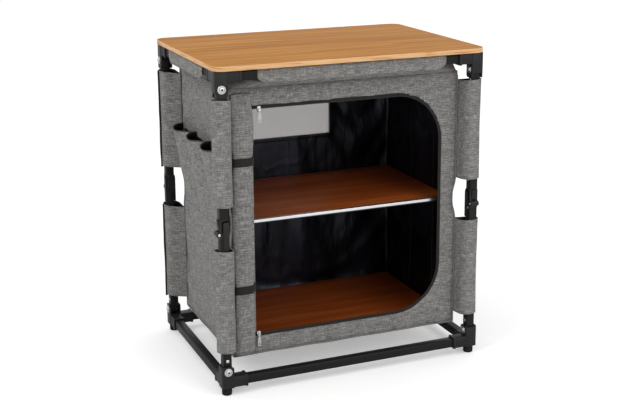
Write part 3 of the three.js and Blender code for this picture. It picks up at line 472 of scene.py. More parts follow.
def face_out(bm, way):
    """Turns a sheet round if its face that lies furthest along way looks back."""
    bm.normal_update()
    far = max(bm.faces, key=lambda f: f.calc_center_median().dot(Vector(way)))
    if far.normal.dot(Vector(way)) < 0:
        bmesh.ops.reverse_faces(bm, faces=bm.faces)


def thicken(piece, thickness, offset=-1.0, inner=1, rim=2):
    """A live solidify that gives a sheet its thickness in mm. inner and rim are the steps to the back's
    and the rim's material, which a piece with one material has no use for."""
    solid = piece.modifiers.new("Thickness", "SOLIDIFY")
    solid.thickness = thickness * MM
    solid.offset = offset
    solid.material_offset = inner
    solid.material_offset_rim = rim
    solid.use_even_offset = False
    return piece


def path_length(points):
    """The length of a path through points."""
    return sum(math.dist(a, b) for a, b in zip(points, points[1:]))


def on_path(points, share):
    """The place at a share of a path's length, and the path's direction there."""
    way = share * path_length(points)
    for a, b in zip(points, points[1:]):
        length = math.dist(a, b)
        if way <= length + 1e-9:
            break
        way -= length
    part = min(1.0, way / length)
    return [p + (q - p) * part for p, q in zip(a, b)], [(q - p) / length for p, q in zip(a, b)]


def waves(x, y, seed, size=90.0):
    """A smooth wandering height from -1 to 1 for cloth, from a place in mm."""
    broad = noise.noise(Vector((x / size, y / size, seed)))
    return broad + 0.5 * noise.noise(Vector((x / size * 2.3, y / size * 2.1, seed + 9)))


def smoothstep(low, high, x):
    """From 0 at low to 1 at high, level at both ends."""
    t = min(1.0, max(0.0, (x - low) / (high - low)))
    return t * t * (3 - 2 * t)


def bead(name, lines, radius, look, body="base", closed=False, squash=FOLD):
    """Thin round beads along lists of points in mm: piping, hems and thread, as one mesh."""
    curve = bpy.data.curves.new(name, "CURVE")
    curve.dimensions = "3D"
    curve.bevel_depth = radius * MM
    curve.bevel_resolution = 2
    curve.use_fill_caps = True
    for points in lines:
        spline = curve.splines.new("POLY")
        spline.points.add(len(points) - 1)
        for spot, point in zip(spline.points, points):
            spot.co = (*(Vector(point) * MM), 1)
        spline.use_cyclic_u = closed
    holder = bpy.data.objects.new(f"{name}_path", curve)
    mesh = bpy.data.meshes.new_from_object(holder)
    bpy.data.objects.remove(holder)
    bpy.data.curves.remove(curve)
    bm = bmesh.new()
    bm.from_mesh(mesh)
    bpy.data.meshes.remove(mesh)
    bmesh.ops.remove_doubles(bm, verts=bm.verts, dist=1e-7)
    return finish_piece(bm, name, look, body, smooth=60, squash=squash)


# What a user may change
def length_setting(name, description, default, low, high):
    """A length in metres for the panel."""
    return FloatProperty(name=name, description=description, default=default, min=low, max=high, unit="LENGTH")


def power_setting(name, description, default):
    """A lamp's power in watts for the panel."""
    return FloatProperty(name=name, description=description, default=default, min=0, max=1000, unit="POWER")


class CupboardFrameSettings(bpy.types.PropertyGroup):
    casting_edge: length_setting("Casting edge", "Rounding of the castings' edges", 0.0006, 0.0001, 0.002)
    tube_edge: length_setting("Tube edge", "Rounding of the tubes' corners", 0.0009, 0.0001, 0.003)
    rivet_radius: length_setting("Rivet radius", "Radius of the blind rivets' heads", 0.0042, 0.002, 0.008)


class CupboardClothSettings(bpy.types.PropertyGroup):
    thickness: length_setting("Cloth thickness", "Thickness of the coated cloth", 0.0014, 0.0005, 0.003)
    slack: FloatProperty(
        name="Wall slack",
        description="Share by which the wall cloth is longer than its place",
        default=0.006,
        min=0.0,
        max=0.02,
    )
    frames: IntProperty(
        name="Settling frames",
        description="Frames that the wall cloth is given to settle",
        default=26,
        min=5,
        max=80,
    )
    wrinkle: length_setting("Wrinkle depth", "Depth of the folds that are formed by hand", 0.0022, 0.0, 0.01)


class CupboardStageSettings(bpy.types.PropertyGroup):
    backdrop: FloatVectorProperty(
        name="Backdrop",
        description="Colour of the floor",
        subtype="COLOR",
        size=3,
        default=(0.9, 0.9, 0.9),
        min=0,
        max=1,
    )
    key_power: power_setting("Key light", "Power of the large lamp at the left", 47.0)
    fill_power: power_setting("Fill light", "Power of the lamp in front", 46.0)
    top_power: power_setting("Top light", "Power of the lamp over the table", 16.0)
    floor_glow: FloatProperty(
        name="Floor glow",
        description="Light that the floor adds for the camera alone",
        default=0.34,
        min=0,
        max=1,
    )
    ambient: FloatProperty(
        name="Ambient",
        description="Strength of the even light all round",
        default=0.54,
        min=0,
        max=3,
    )


# Frame
class CUPBOARD_OT_tubes(bpy.types.Operator):
    """Legs and rails: square steel tube with round corners"""

    bl_idname = "cupboard.tubes"
    bl_label = "Legs and rails"

    def execute(self, context):
        width = context.scene.cupboard_frame.tube_edge
        legs = [f"{part}_leg_{corner}" for part in ("lower", "upper") for corner in CORNERS]
        tubes = [(leg, leg) for leg in legs]
        tubes += [(f"bottom_rail_{side}", "base") for side in SIDES]
        tubes += [(f"top_rail_{side}", "top_frame") for side in SIDES]
        for node, body in tubes:
            bm = cad_bmesh(node)
            # The tube's length and its square ends, but not the facets round its pivot end
            keep = lambda edge: edge.calc_length() > 0.05 or edge.calc_face_angle() > math.radians(80)
            round_edges(bm, width, 2, 35, keep)
            finish_piece(bm, f"{node}_tube", "tube", body, [node])
        return {"FINISHED"}


def strip_screw(bm, corner, pivot):
    """Takes the screw's head and nut, round the pivot's axis, off a copied hub and closes the holes."""
    side, reach = corner_matrix(corner).inverted(), 12
    heads = []
    for face in bm.faces:
        x, y, z = (side @ face.calc_center_median()) / MM
        if abs(y) > HUB_HALF + 0.05 and math.hypot(x, z - pivot) < reach:
            heads.append(face)
    bmesh.ops.delete(bm, geom=heads, context="FACES")
    open_edges = [e for e in bm.edges if e.is_boundary]
    if open_edges:
        bmesh.ops.holes_fill(bm, edges=open_edges, sides=0)


class CUPBOARD_OT_hubs(bpy.types.Operator):
    """Corner hubs: moulded posts with two rail sockets and a clevis, ribbed at the socket mouths"""

    bl_idname = "cupboard.hubs"
    bl_label = "Corner hubs"

    def execute(self, context):
        width = context.scene.cupboard_frame.casting_edge
        for corner in CORNERS:
            for level, body, pivot, socket in (
                ("bottom", "base", PIVOT_LOW, RAIL_LOW_Z),
                ("top", "top_frame", PIVOT_HIGH, RAIL_TOP_Z - 1.1),
            ):
                node = f"{level}_hub_{corner}"
                bm = cad_bmesh(node)
                strip_screw(bm, corner, pivot)
                round_edges(bm, width)
                finish_piece(bm, f"{node}_moulding", "nylon", body, [node])
                self.collars(corner, level, body, socket)
        return {"FINISHED"}

    def collars(self, corner, level, body, height):
        """The thicker band round each socket's mouth."""
        bm = bmesh.new()
        for turn in (0, 1):
            place = corner_matrix(corner) @ Matrix.Rotation(turn * math.pi / 2, 4, "Z")
            block(bm, place, (46.3, 0, height), (7.0, 29.2, 29.2))
        round_edges(bm, 1.0 * MM, 3)
        finish_piece(bm, f"{level}_hub_collars_{corner}", "nylon", body)


class CUPBOARD_OT_feet(bpy.types.Operator):
    """Feet: turned rubber caps with a rounded sole and two grooves"""

    bl_idname = "cupboard.feet"
    bl_label = "Feet"

    def execute(self, context):
        sole = [(0, 0), (9.6, 0), (11.4, 0.7), (12.4, 2.6)]
        grooves = [(12.5, 5), (12.0, 5.6), (12.5, 6.2), (12.5, 8.4), (12.0, 9.0), (12.5, 9.6)]
        neck = [(12.5, 18.4), (12.1, 19.0), (7.0, 19.0), (7.0, 25.6), (6.6, 26.0), (0, 26.0)]
        for corner in CORNERS:
            bm = bmesh.new()
            spin_profile(bm, sole + grooves + neck, (0, 0, 1), (0, 0, 0), 40)
            bmesh.ops.transform(bm, matrix=corner_matrix(corner), verts=bm.verts)
            finish_piece(bm, f"foot_cap_{corner}", "rubber", "base", [f"foot_{corner}"], 35)
        return {"FINISHED"}


class CUPBOARD_OT_knees(bpy.types.Operator):
    """Knees: the forks, tongues and release levers, with grip ridges on each lever"""

    bl_idname = "cupboard.knees"
    bl_label = "Knee joints"

    def execute(self, context):
        width = context.scene.cupboard_frame.casting_edge
        for corner in CORNERS:
            for part, leg in (("fork", "upper"), ("tongue", "lower")):
                node = f"knee_{part}_{corner}"
                bm = cad_bmesh(node)
                round_edges(bm, width)
                finish_piece(bm, f"{node}_casting", "nylon", f"{leg}_leg_{corner}", [node])
            self.cheek_plates(corner)
            node = f"release_lever_{corner}"
            bm = cad_bmesh(node)
            round_edges(bm, width)
            for i in range(3):
                ridge = (-13.7 + 0.35 * i, 0, KNEE + 29 - 3.2 * i)
                block(bm, corner_matrix(corner), ridge, (1.6, 9.0, 1.1))
            finish_piece(bm, f"{node}_moulding", "nylon", f"lever_{corner}", [node])
        return {"FINISHED"}

    def cheek_plates(self, corner):
        """A cover on each cheek of the lower casting, round at its upper outer corner, over a near-black plate
        of painted shade that darkens the slot round it."""
        right, corner_radius = 11.2, 4.5
        for name, look, left, low, high, near, thick in (
            ("cover", "nylon", -3.8, KNEE - 37, KNEE + 29.5, 12.46, 0.9),
            # Painted shade: a near-black plate just under the cover, showing in the slot round it
            ("shade_plate", "slot_shade", -6.4, KNEE + 6, KNEE + 33.0, 12.24, 0.2),
        ):
            bm = bmesh.new()
            for side in (-1, 1):
                centre = ((right + left) / 2, side * (near + thick / 2), (low + high) / 2)
                plate = block(bm, Matrix(), centre, (right - left, thick, high - low))
                upper = {v for v in plate if v.co.x < 0 and v.co.z > (high - 1) * MM}
                outer = [e for e in bm.edges if upper.issuperset(e.verts)]
                bevel(bm, outer, corner_radius * MM, 6)
            round_edges(bm, thick / 3 * MM, 2, 60)
            bmesh.ops.transform(bm, matrix=corner_matrix(corner), verts=bm.verts)
            finish_piece(bm, f"knee_{name}_{corner}", look, f"lower_leg_{corner}")


class CUPBOARD_OT_fasteners(bpy.types.Operator):
    """Fasteners: pivot screws and nuts, blind rivets in the legs and the knees, and the knee pins' heads"""

    bl_idname = "cupboard.fasteners"
    bl_label = "Screws and rivets"

    def execute(self, context):
        rivet = context.scene.cupboard_frame.rivet_radius / MM
        for corner in CORNERS:
            # The heads look out of the corner's front or left face, so they turn with the folding side
            out = 1 if corner in ("front_right", "back_right") else -1
            for level, body, pivot in (("lower", "base", PIVOT_LOW), ("upper", "top_frame", PIVOT_HIGH)):
                self.pivot_screw(corner, out, level, body, pivot)
                # Blind rivets: by the pivot on both faces below, and by the knee on the rear face alone
                rivets = [(1, pivot + 26.5), (-1, pivot + 26.5), (1, KNEE - 12.5)]
                if level == "upper":
                    rivets = [(1, pivot - 26.5), (1, KNEE + 61)]
                heads = [(0, side * (TUBE_HALF + 0.02), height) for side, height in rivets]
                self.heads(f"{level}_leg_rivets_{corner}", corner, f"{level}_leg_{corner}", heads, rivet, 1.5)
            pins = [(-13, side * (TUBE_HALF + 1.22), KNEE) for side in (-1, 1)]
            self.heads(f"knee_pin_heads_{corner}", corner, f"upper_leg_{corner}", pins, 3.3, 1.2)
        return {"FINISHED"}

    def heads(self, name, corner, body, places, radius, height):
        """Plain domed heads, each looking away from the leg's middle."""
        bm = bmesh.new()
        for place in places:
            dome_head(bm, place, (0, math.copysign(1, place[1]), 0), radius, height, 0.3)
        bmesh.ops.transform(bm, matrix=corner_matrix(corner), verts=bm.verts)
        finish_piece(bm, name, "nickel", body, smooth=35)

    def pivot_screw(self, corner, out, level, body, pivot):
        """A dome head with a hex socket, its inside painted with the black nylon as painted shade, on its
        washer, and the hexagon nut on the other side.
        """
        bm = bmesh.new()
        seat = (0, out * (HUB_HALF + 0.9), pivot)
        for face in dome_head(bm, seat, (0, out, 0), 6.2, 3.2, 1.6, 2.3, 2.5):
            # Painted shade: the faces inside the hex socket take the second material, the black nylon
            near = face.calc_center_median() / MM - Vector(seat)
            face.material_index = int(math.hypot(near.x, near.z) < 2.4 and abs(near.y) < 2.6)
        washer = [(0, 0), (10.0, 0), (10.0, 0.7), (9.6, 1.1), (7.4, 1.1), (7.2, 0.5), (0, 0.5)]
        nut = [(0, 0), (6.6, 0), (6.6, 1.2), (6.2, 1.5), (3.2, 1.5), (3.2, 0.4), (0, 0.4)]
        for profile, side, steps in ((washer, out, 36), (nut, -out, 6)):
            spin_profile(bm, profile, (0, side, 0), (0, side * (HUB_HALF + 0.02), pivot), steps)
        bmesh.ops.transform(bm, matrix=corner_matrix(corner), verts=bm.verts)
        finish_piece(bm, f"{level}_pivot_screw_{corner}", "nickel nylon", body, smooth=35)


# Boards
class CUPBOARD_OT_boards(bpy.types.Operator):
    """Table top, shelf with its edge profile, and bottom board"""

    bl_idname = "cupboard.boards"
    bl_label = "Boards"

    def execute(self, context):
        for node, body, looks, slot, width in (
            ("table_top", "table", "bamboo bamboo_edge", "bamboo", 1.4),
            ("shelf_board", "shelf", "veneer veneer", "board_veneer", 0.5),
            ("bottom_board", "bottom_board", "veneer veneer", "board_veneer", 1.0),
            ("shelf_edge_profile", "shelf", "aluminium nylon", "edge_aluminium", 0.9),
        ):
            if node == "table_top":
                bm = self.table()
            else:
                bm = cad_bmesh(node)
                round_edges(bm, width * MM, 3, 60)
            if node == "shelf_edge_profile":
                cut = {"plane_co": (0, 0, PROFILE_SPLIT * MM), "plane_no": (0, 0, 1)}
                bmesh.ops.bisect_plane(bm, geom=bm.verts[:] + bm.edges[:] + bm.faces[:], dist=1e-6, **cut)
            for face in bm.faces:
                if node == "shelf_edge_profile":
                    # Painted shade: the profile's faces below the split take the dark nylon
                    face.material_index = int(face.calc_center_median().z < PROFILE_SPLIT * MM)
                elif abs(face.normal.z) < 0.8:
                    face.material_index = 1
            finish_piece(bm, f"{node}_board", looks, body, [node])
        return {"FINISHED"}

    def table(self):
        """The table's outline, rounded at its corners and then along its edges."""
        bm = bmesh.new()
        low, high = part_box("table_top")
        size = Matrix.Diagonal((*(high - low), 1))
        bmesh.ops.create_cube(bm, size=1.0, matrix=Matrix.Translation((low + high) / 2) @ size)
        rise = lambda edge: abs(edge.verts[0].co.z - edge.verts[1].co.z)
        bevel(bm, [e for e in bm.edges if rise(e) > 5 * MM], 28 * MM, 14)
        rims = [e for e in bm.edges if e.is_manifold and rise(e) < 1e-6 and e.calc_face_angle() > 1.0]
        bevel(bm, rims, 1.6 * MM, 4)
        return bm


# Cloth cabinet
def wall_path(distance):
    """A place in mm along the cabinet's four walls, from the front left corner by way of the right:
    x, y, the way out, the wall's length and how far along it the place is."""
    for length, start, along in (
        (2 * BOX_X, (-BOX_X, -BOX_Y), (1, 0)),
        (2 * BOX_Y, (BOX_X, -BOX_Y), (0, 1)),
        (2 * BOX_X, (BOX_X, BOX_Y), (-1, 0)),
        (2 * BOX_Y, (-BOX_X, BOX_Y), (0, -1)),
    ):
        if distance <= length:
            x, y = start[0] + along[0] * distance, start[1] + along[1] * distance
            return x, y, (along[1], -along[0]), length, distance
        distance -= length
    return -BOX_X, -BOX_Y, (-1, 0), 2 * BOX_Y, 2 * BOX_Y


def drawn_in(y, z, edge):
    """How far in mm the wall is drawn in at a corner, in the gap between the leg's two sleeves."""
    depth = 5.5 if y < 0 else 2.4
    start, end = SLEEVES["lower"][1], SLEEVES["upper"][0]
    return depth * smoothstep(start, 400, z) * (1 - smoothstep(420, end, z)) * (1 - smoothstep(0, 42, edge))


def door_edge(step):
    """Points in mm (x, z), step mm apart, along the opening's edge from its top left corner round the
    right to its bottom left corner."""
    straight, high, low = DOOR_TURN_X - DOOR_LEFT, DOOR_TOP - DOOR_RADIUS, DOOR_BOTTOM + DOOR_RADIUS
    lengths = straight, DOOR_RADIUS * math.pi / 2, high - low
    across, arc, down = (round(length / step) for length in lengths)
    turns = [math.pi / 2 * i / arc for i in range(arc)]
    round_off = [(DOOR_RADIUS * math.sin(turn), DOOR_RADIUS * math.cos(turn)) for turn in turns]
    points = [(DOOR_LEFT + straight * i / across, DOOR_TOP) for i in range(across)]
    points += [(DOOR_TURN_X + x, high + z) for x, z in round_off]
    points += [(DOOR_RIGHT, high - (high - low) * i / down) for i in range(down)]
    points += [(DOOR_TURN_X + z, low - x) for x, z in round_off]
    return points + [(DOOR_TURN_X - straight * i / across, DOOR_BOTTOM) for i in range(across + 1)]


def beyond_door(x, z):
    """How far in mm a place on the front wall lies beyond the opening's upper, right or lower edge."""
    reach = DOOR_MIDDLE - DOOR_BOTTOM
    across, up = x - DOOR_TURN_X, abs(z - DOOR_MIDDLE) - (reach - DOOR_RADIUS)
    if across > 0 and up > 0:
        return math.hypot(across, up) - DOOR_RADIUS
    return max(x - DOOR_RIGHT, abs(z - DOOR_MIDDLE) - reach)


def sewn_free(x, y, z):
    """From 0 where something is sewn on a side wall, the pockets or the lining's seams, to 1."""
    if x < 0:
        return 1 - smoothstep(350, 378, z) * (1 - smoothstep(598, 626, z))
    return min(smoothstep(5, 22, abs(y - seam)) for seam in LINING_SEAMS)


def wall_place(u, v):
    """A place in mm on the walls, u round them and v up, with the hem, dents and drawn-in corners."""
    x, y, normal, length, along = wall_path(u * GIRTH)
    z = FLOOR_Z + v * WALL_HEIGHT
    edge = min(along, length - along)
    # The lower hem wanders a little between the corners
    hem = 3.0 * waves(x + y, 0, 4.0, 150) * (1 - smoothstep(FLOOR_Z, 110, z)) * smoothstep(0, 50, edge)
    pull = drawn_in(y, z, edge)
    wrinkle = bpy.context.scene.cupboard_cloth.wrinkle / MM
    dent = wrinkle * waves(along + z * 0.7, along * 0.4 - z * 0.5, 8.0, 70)
    dent *= smoothstep(10, 34, edge) * smoothstep(FLOOR_Z, 140, z) * (1 - smoothstep(690, WALL_TOP, z))
    dent *= 1 - 0.75 * smoothstep(45, 150, edge)
    if y == -BOX_Y:
        dent *= smoothstep(8, 24, max(DOOR_LEFT - x, beyond_door(x, z)))
    elif abs(x) == BOX_X:
        dent *= sewn_free(x, y, z)
    x, y = x + normal[0] * dent, y + normal[1] * dent
    return x - math.copysign(pull, x), y - math.copysign(pull, y), z + hem


def settle(piece, pins, frames, slack, inward, outward, normals):
    """Lets the cloth settle between its pinned points with Blender's cloth simulation, keeps what it
    does within inward and outward mm along each point's normal, and leaves no modifier behind."""
    rest = [v.co.copy() for v in piece.data.vertices]
    group = piece.vertex_groups.new(name="Pinned")
    for index, weight in pins.items():
        group.add([index], weight, "REPLACE")
    cloth = piece.modifiers.new("Settle", "CLOTH")
    settings = cloth.settings
    settings.quality = 6
    settings.mass = 0.35
    settings.tension_stiffness = settings.compression_stiffness = 22
    settings.shear_stiffness = 10
    settings.bending_stiffness = 0.8
    settings.vertex_group_mass = "Pinned"
    settings.shrink_min = -slack
    settings.effector_weights.gravity = 0.35
    cloth.collision_settings.use_collision = False
    cloth.point_cache.frame_start, cloth.point_cache.frame_end = 1, frames
    scene = bpy.context.scene
    for i in range(1, frames + 1):
        scene.frame_set(i)
    done = piece.evaluated_get(bpy.context.evaluated_depsgraph_get())
    moved = [v.co.copy() for v in done.data.vertices]
    piece.modifiers.remove(cloth)
    piece.vertex_groups.remove(group)
    scene.frame_set(1)
    for vert, start, end, normal in zip(piece.data.vertices, rest, moved, normals):
        shift = end - start
        out = shift.dot(normal)
        kept = (outward if out > 0 else inward) * MM
        soft = kept * math.tanh(out / kept)
        vert.co = start + (shift - normal * out) * 0.5 + normal * soft


def bake(piece):
    """Applies a piece's modifiers, so that what follows takes the final mesh."""
    done = bpy.data.meshes.new_from_object(piece.evaluated_get(bpy.context.evaluated_depsgraph_get()))
    piece.modifiers.clear()
    piece.data = done


def fold_away(piece, *nodes, way=FOLD):
    """Bakes a cloth piece, gives it a mesh of its own, and hides the solids it stands for."""
    bake(piece)
    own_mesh(piece)
    if nodes:
        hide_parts(*nodes)


class CUPBOARD_OT_walls(bpy.types.Operator):
    """Cabinet walls: one sheet of grey cloth with a black coated inside, sewn along the corners, with
    the door opening and the window cut out"""

    bl_idname = "cupboard.walls"
    bl_label = "Cabinet walls"

    grid = 10

    def execute(self, context):
        cloth = context.scene.cupboard_cloth
        columns, rows = GIRTH // self.grid, WALL_HEIGHT // self.grid
        bm = sheet_grid(columns, rows, wall_place, (GIRTH * MM, WALL_HEIGHT * MM))
        left, right, low, high = WINDOW
        in_door = lambda x, y, z: y < 0 and x > DOOR_LEFT and beyond_door(x, z) < -DOOR_RIM
        self.cut(bm, in_door, self.on_door_edge)
        self.cut(bm, lambda x, y, z: y > 0 and left < x < right and low < z < high, self.on_window_edge)
        bmesh.ops.remove_doubles(bm, verts=bm.verts, dist=1e-5)
        bm.normal_update()
        bm.verts.index_update()
        pins, normals = {}, []
        for vert in bm.verts:
            x, y, z = (c / MM for c in vert.co)
            normals.append(vert.normal.copy())
            corner = abs(x) > BOX_X - 8 and abs(y) > BOX_Y - 8
            sewn = abs(x) > BOX_X - 1 and abs(y) < BOX_Y - 8 and sewn_free(x, y, z) < 0.1
            if z < FLOOR_Z + 4 or z > WALL_TOP - 3 or corner or sewn or vert.is_boundary:
                pins[vert.index] = 1.0
            elif abs(z - SHELF_SEAM) < 6 and y > -100:
                pins[vert.index] = 0.5
        piece = finish_piece(bm, "cabinet_walls", LINED, "base", smooth=0)
        settle(piece, pins, cloth.frames, cloth.slack, 2.2, 9.0, normals)
        piece.data.shade_smooth()
        thicken(piece, cloth.thickness / MM)
        fold_away(piece, "cloth_cabinet")
        return {"FINISHED"}

    def cut(self, bm, inside, onto):
        """Takes the faces inside an opening away and brings its stepped rim onto the opening's edge."""
        gone = {f for f in bm.faces if inside(*(f.calc_center_median() / MM))}
        rim = [v for v in {v for f in gone for v in f.verts} if any(f not in gone for f in v.link_faces)]
        bmesh.ops.delete(bm, geom=list(gone), context="FACES")
        for vert in rim:
            x, z = onto(vert.co.x / MM, vert.co.z / MM)
            vert.co.x, vert.co.z = x * MM, z * MM

    def on_door_edge(self, x, z):
        """The place on the cloth's edge in the opening that is nearest to a place on its stepped rim."""
        radius = DOOR_RADIUS - DOOR_RIM
        for centre, sign in ((DOOR_TOP - DOOR_RADIUS, 1), (DOOR_BOTTOM + DOOR_RADIUS, -1)):
            if x > DOOR_TURN_X and (z - centre) * sign > 0:
                far = math.hypot(x - DOOR_TURN_X, z - centre)
                return DOOR_TURN_X + (x - DOOR_TURN_X) * radius / far, centre + (z - centre) * radius / far
        ways = [(abs(x - edge), edge, z) for edge in (DOOR_LEFT, DOOR_RIGHT - DOOR_RIM)]
        ways += [(abs(z - edge), x, edge) for edge in (DOOR_TOP - DOOR_RIM, DOOR_BOTTOM + DOOR_RIM)]
        # A corner's point goes onto both edges, the upright one first in the list
        both = [way for way in ways if way[0] < 8]
        if len(both) == 2:
            return both[0][1], both[1][2]
        return min(ways)[1:]

    def on_window_edge(self, x, z):
        """The same for the window, whose corners are square in the wall."""
        left, right, low, high = WINDOW
        if min(abs(x - left), abs(x - right)) < 8:
            x = left if x < 0 else right
        if min(abs(z - low), abs(z - high)) < 8:
            z = low if abs(z - low) < 8 else high
        return x, z


def open_sheet(name, columns, rows, place, size, looks, slot="cloth", thickness=1.4, **layers):
    """A sheet of cloth from place(u, v) in mm, with its thickness towards its back."""
    bm = sheet_grid(columns, rows, place, (size[0] * MM, size[1] * MM))
    bmesh.ops.remove_doubles(bm, verts=bm.verts, dist=1e-6)
    return thicken(finish_piece(bm, name, looks, "base", smooth=60), thickness, **layers)


class CUPBOARD_OT_floor(bpy.types.Operator):
    """Cabinet floor: black coated cloth that hangs a little under the bottom board"""

    bl_idname = "cupboard.floor_cloth"
    bl_label = "Cabinet floor"

    def execute(self, context):
        def place(u, v):
            x, y = (u - 0.5) * 2 * (BOX_X - 1), (v - 0.5) * 2 * (BOX_Y - 1)
            edge = min(BOX_X - abs(x), BOX_Y - abs(y))
            sag = 2.2 * smoothstep(0, 60, edge) - 0.5 * waves(x, y, 2.0) * smoothstep(0, 30, edge)
            return x, y, FLOOR_Z + 0.6 - sag

        piece = open_sheet("cabinet_floor", 60, 40, place, (598, 388), "lining cloth webbing")
        fold_away(piece)
        return {"FINISHED"}


class CUPBOARD_OT_header(bpy.types.Operator):
    """Header: a loop of cloth round each top rail with slanted lower ends, and the sloping cloth from
    its seam in to the top of each wall"""

    bl_idname = "cupboard.header"
    bl_label = "Header sleeves"

    # The loop's seam lies this far inside the leg's centre line, and a slope's cloth is this thick
    seam, cloth = 11.6, 1.2

    def execute(self, context):
        for turn, side in enumerate(SIDES):
            places = (LEG_X, LEG_Y, BOX_X, BOX_Y) if turn % 2 else (LEG_Y, LEG_X, BOX_Y, BOX_X)
            rail, leg, wall, corner = places
            turned = Matrix.Rotation(turn * math.pi / 2, 4, "Z")
            self.loop(side, turned, rail, leg - 87)
            self.slope(side, turned, rail, leg - 107, wall, corner - 6)
        for corner in CORNERS:
            self.gusset(corner, context.scene.cupboard_cloth.wrinkle / MM)
        return {"FINISHED"}

    def loop(self, side, turned, rail, end):
        """The loop's path runs up the outer face of the rail, over it, and down the inner face."""
        low, top, half = HEADER_Z, RAIL_TOP_Z + 12.4, 12.6
        path = [(-half, low), (-half, top), (half, top), (half, low)]
        total = path_length(path)

        def place(u, v):
            out, z = on_path(path, v)[0]
            # Its ends slant in over the lowest 11 mm
            slant = max(0.0, 20 * (1 - (z - low) / 11)) if z < low + 11 else 0
            x = (u - 0.5) * 2 * (end - slant)
            sag = 0.7 * waves(x, z * 3, 5.0 + len(side), 55) * (1 if out < 0 else 0.4)
            inward = smoothstep(0, 14, end - abs(x)) * (1 if out < 0 else -0.4)
            return x, -rail + out - (0.9 + 0.6 * abs(sag)) * inward, z + (sag * 0.6 if z < low + 3 else 0)

        bm = sheet_grid(round(2 * end / 7), 18, place, (2 * end * MM, total * MM))
        bmesh.ops.transform(bm, matrix=turned, verts=bm.verts)
        piece = finish_piece(bm, f"header_sleeve_{side}", "cloth lining cloth", "top_frame", smooth=45)
        thicken(piece, self.cloth, 1.0)
        bake(piece)

    def slope(self, side, turned, rail, end, wall, wall_end):
        """A strip that leans out from the wall's top edge to the loop's seam, with soft gathers."""
        foot, rise, lean = WALL_TOP - self.cloth, HEADER_Z + self.cloth - WALL_TOP, rail - self.seam - wall

        def place(u, v):
            x = (2 * u - 1) * (wall_end + (end - wall_end) * v)
            gather = 1.1 * waves(x * 2.2, v * 30, 11.0 + len(side), 40) * math.sin(math.pi * v)
            return x, -(wall + lean * v), foot + rise * v + gather

        size = (2 * wall_end, math.hypot(lean, 17))
        bm = sheet_grid(round(2 * wall_end / 7), 7, place, (size[0] * MM, size[1] * MM))
        bmesh.ops.transform(bm, matrix=turned, verts=bm.verts)
        piece = finish_piece(bm, f"header_slope_{side}", LINED, "base", smooth=60)
        thicken(piece, self.cloth)
        fold_away(piece)

    def gusset(self, corner, wrinkle):
        """Cloth that closes the corner between the ends of two slopes. Its free edge is a curve that
        rises in the middle, so that no light shows under the hub's arms."""
        sign_x, sign_y = signs(corner)
        foot, top = WALL_TOP - self.cloth, HEADER_Z + 1
        low = Vector((BOX_X - 6, BOX_Y, foot)), Vector((BOX_X, BOX_Y - 6, foot))
        high = Vector((LEG_X - 107, LEG_Y - self.seam, top)), Vector((LEG_X - self.seam, LEG_Y - 107, top))
        middle = Vector((BOX_X - 3, BOX_Y - 1, HEADER_Z + 14))

        def place(u, v):
            rim = high[0].lerp(middle, u).lerp(middle.lerp(high[1], u), u)
            spot = low[0].lerp(low[1], u).lerp(rim, v)
            fold = wrinkle * waves(u * 140, v * 30, 14.0 + sign_x + 2 * sign_y, 26) * math.sin(math.pi * u)
            return spot.x * sign_x, spot.y * sign_y, spot.z + fold * v

        bm = sheet_grid(28, 12, place, (0.14, 0.045))
        bm.normal_update()
        if sum(f.normal.z for f in bm.faces) < 0:
            bmesh.ops.reverse_faces(bm, faces=bm.faces)
        area = sum(f.calc_area() for f in bm.faces)
        piece = finish_piece(bm, f"header_gusset_{corner}", LINED, "base", smooth=60)
        thicken(piece, self.cloth)
        fold_away(piece)


class CUPBOARD_OT_sleeves(bpy.types.Operator):
    """Leg sleeves: loops of cloth round the legs, drawn in to the cabinet's corners and hemmed black
    along the seam"""

    bl_idname = "cupboard.sleeves"
    bl_label = "Leg sleeves"

    # The loop's round part, in mm, lies a little off the leg's centre line
    radius, off_x, off_y = 23.6, 3.5, 6

    def execute(self, context):
        for corner in CORNERS:
            for level, (low, high) in SLEEVES.items():
                way = SLEEVE_FOLD if level == "upper" else FOLD
                self.sleeve(f"{level}_sleeve_{corner}", *signs(corner), low, high, way)
        return {"FINISHED"}

    def outline(self, centre, seam):
        """Points round a leg's drop-shaped loop, from the seam round the leg and back to the seam."""
        way, steps = seam - centre, 26
        facing, opened = math.atan2(way.y, way.x), math.acos(self.radius / way.length)
        arc = [facing + opened + (2 * math.pi - 2 * opened) * i / steps for i in range(steps + 1)]
        return [seam] + [centre + self.radius * Vector((math.cos(a), math.sin(a))) for a in arc] + [seam]

    def sleeve(self, name, sign_x, sign_y, low, high, way):
        centre = Vector((sign_x * (LEG_X - self.off_x), sign_y * (LEG_Y - self.off_y)))
        path = self.outline(centre, Vector((sign_x * (BOX_X + 1.4), sign_y * (BOX_Y - 12))))
        total, height = sum((b - a).length for a, b in zip(path, path[1:])), high - low

        def place(u, v):
            spot = Vector(on_path(path, u)[0])
            # The hems dip where the cloth leaves the leg, and the sides are drawn in between them
            middle = math.sin(math.pi * v)
            spot += (centre - spot) * (0.055 * middle * (1 - (2 * u - 1) ** 2))
            seed = 20.0 + low / 100 + sign_x + 2 * sign_y
            spot += (spot - centre).normalized() * 0.9 * waves(u * total, v * height * 0.5, seed, 45) * middle
            hem = (-3.2 if v > 0.5 else -2.2) * math.cos(2 * math.pi * u) * abs(2 * v - 1) ** 6
            return spot.x, spot.y, low + 3 + (height - 6) * v + hem

        bm = sheet_grid(56, 40, place, (total * MM, height * MM))
        face_out(bm, (sign_x, 0, 0))
        piece = finish_piece(bm, name, LINED, "base", smooth=60)
        thicken(piece, 1.2, rim=0)
        fold_away(piece, way=way)


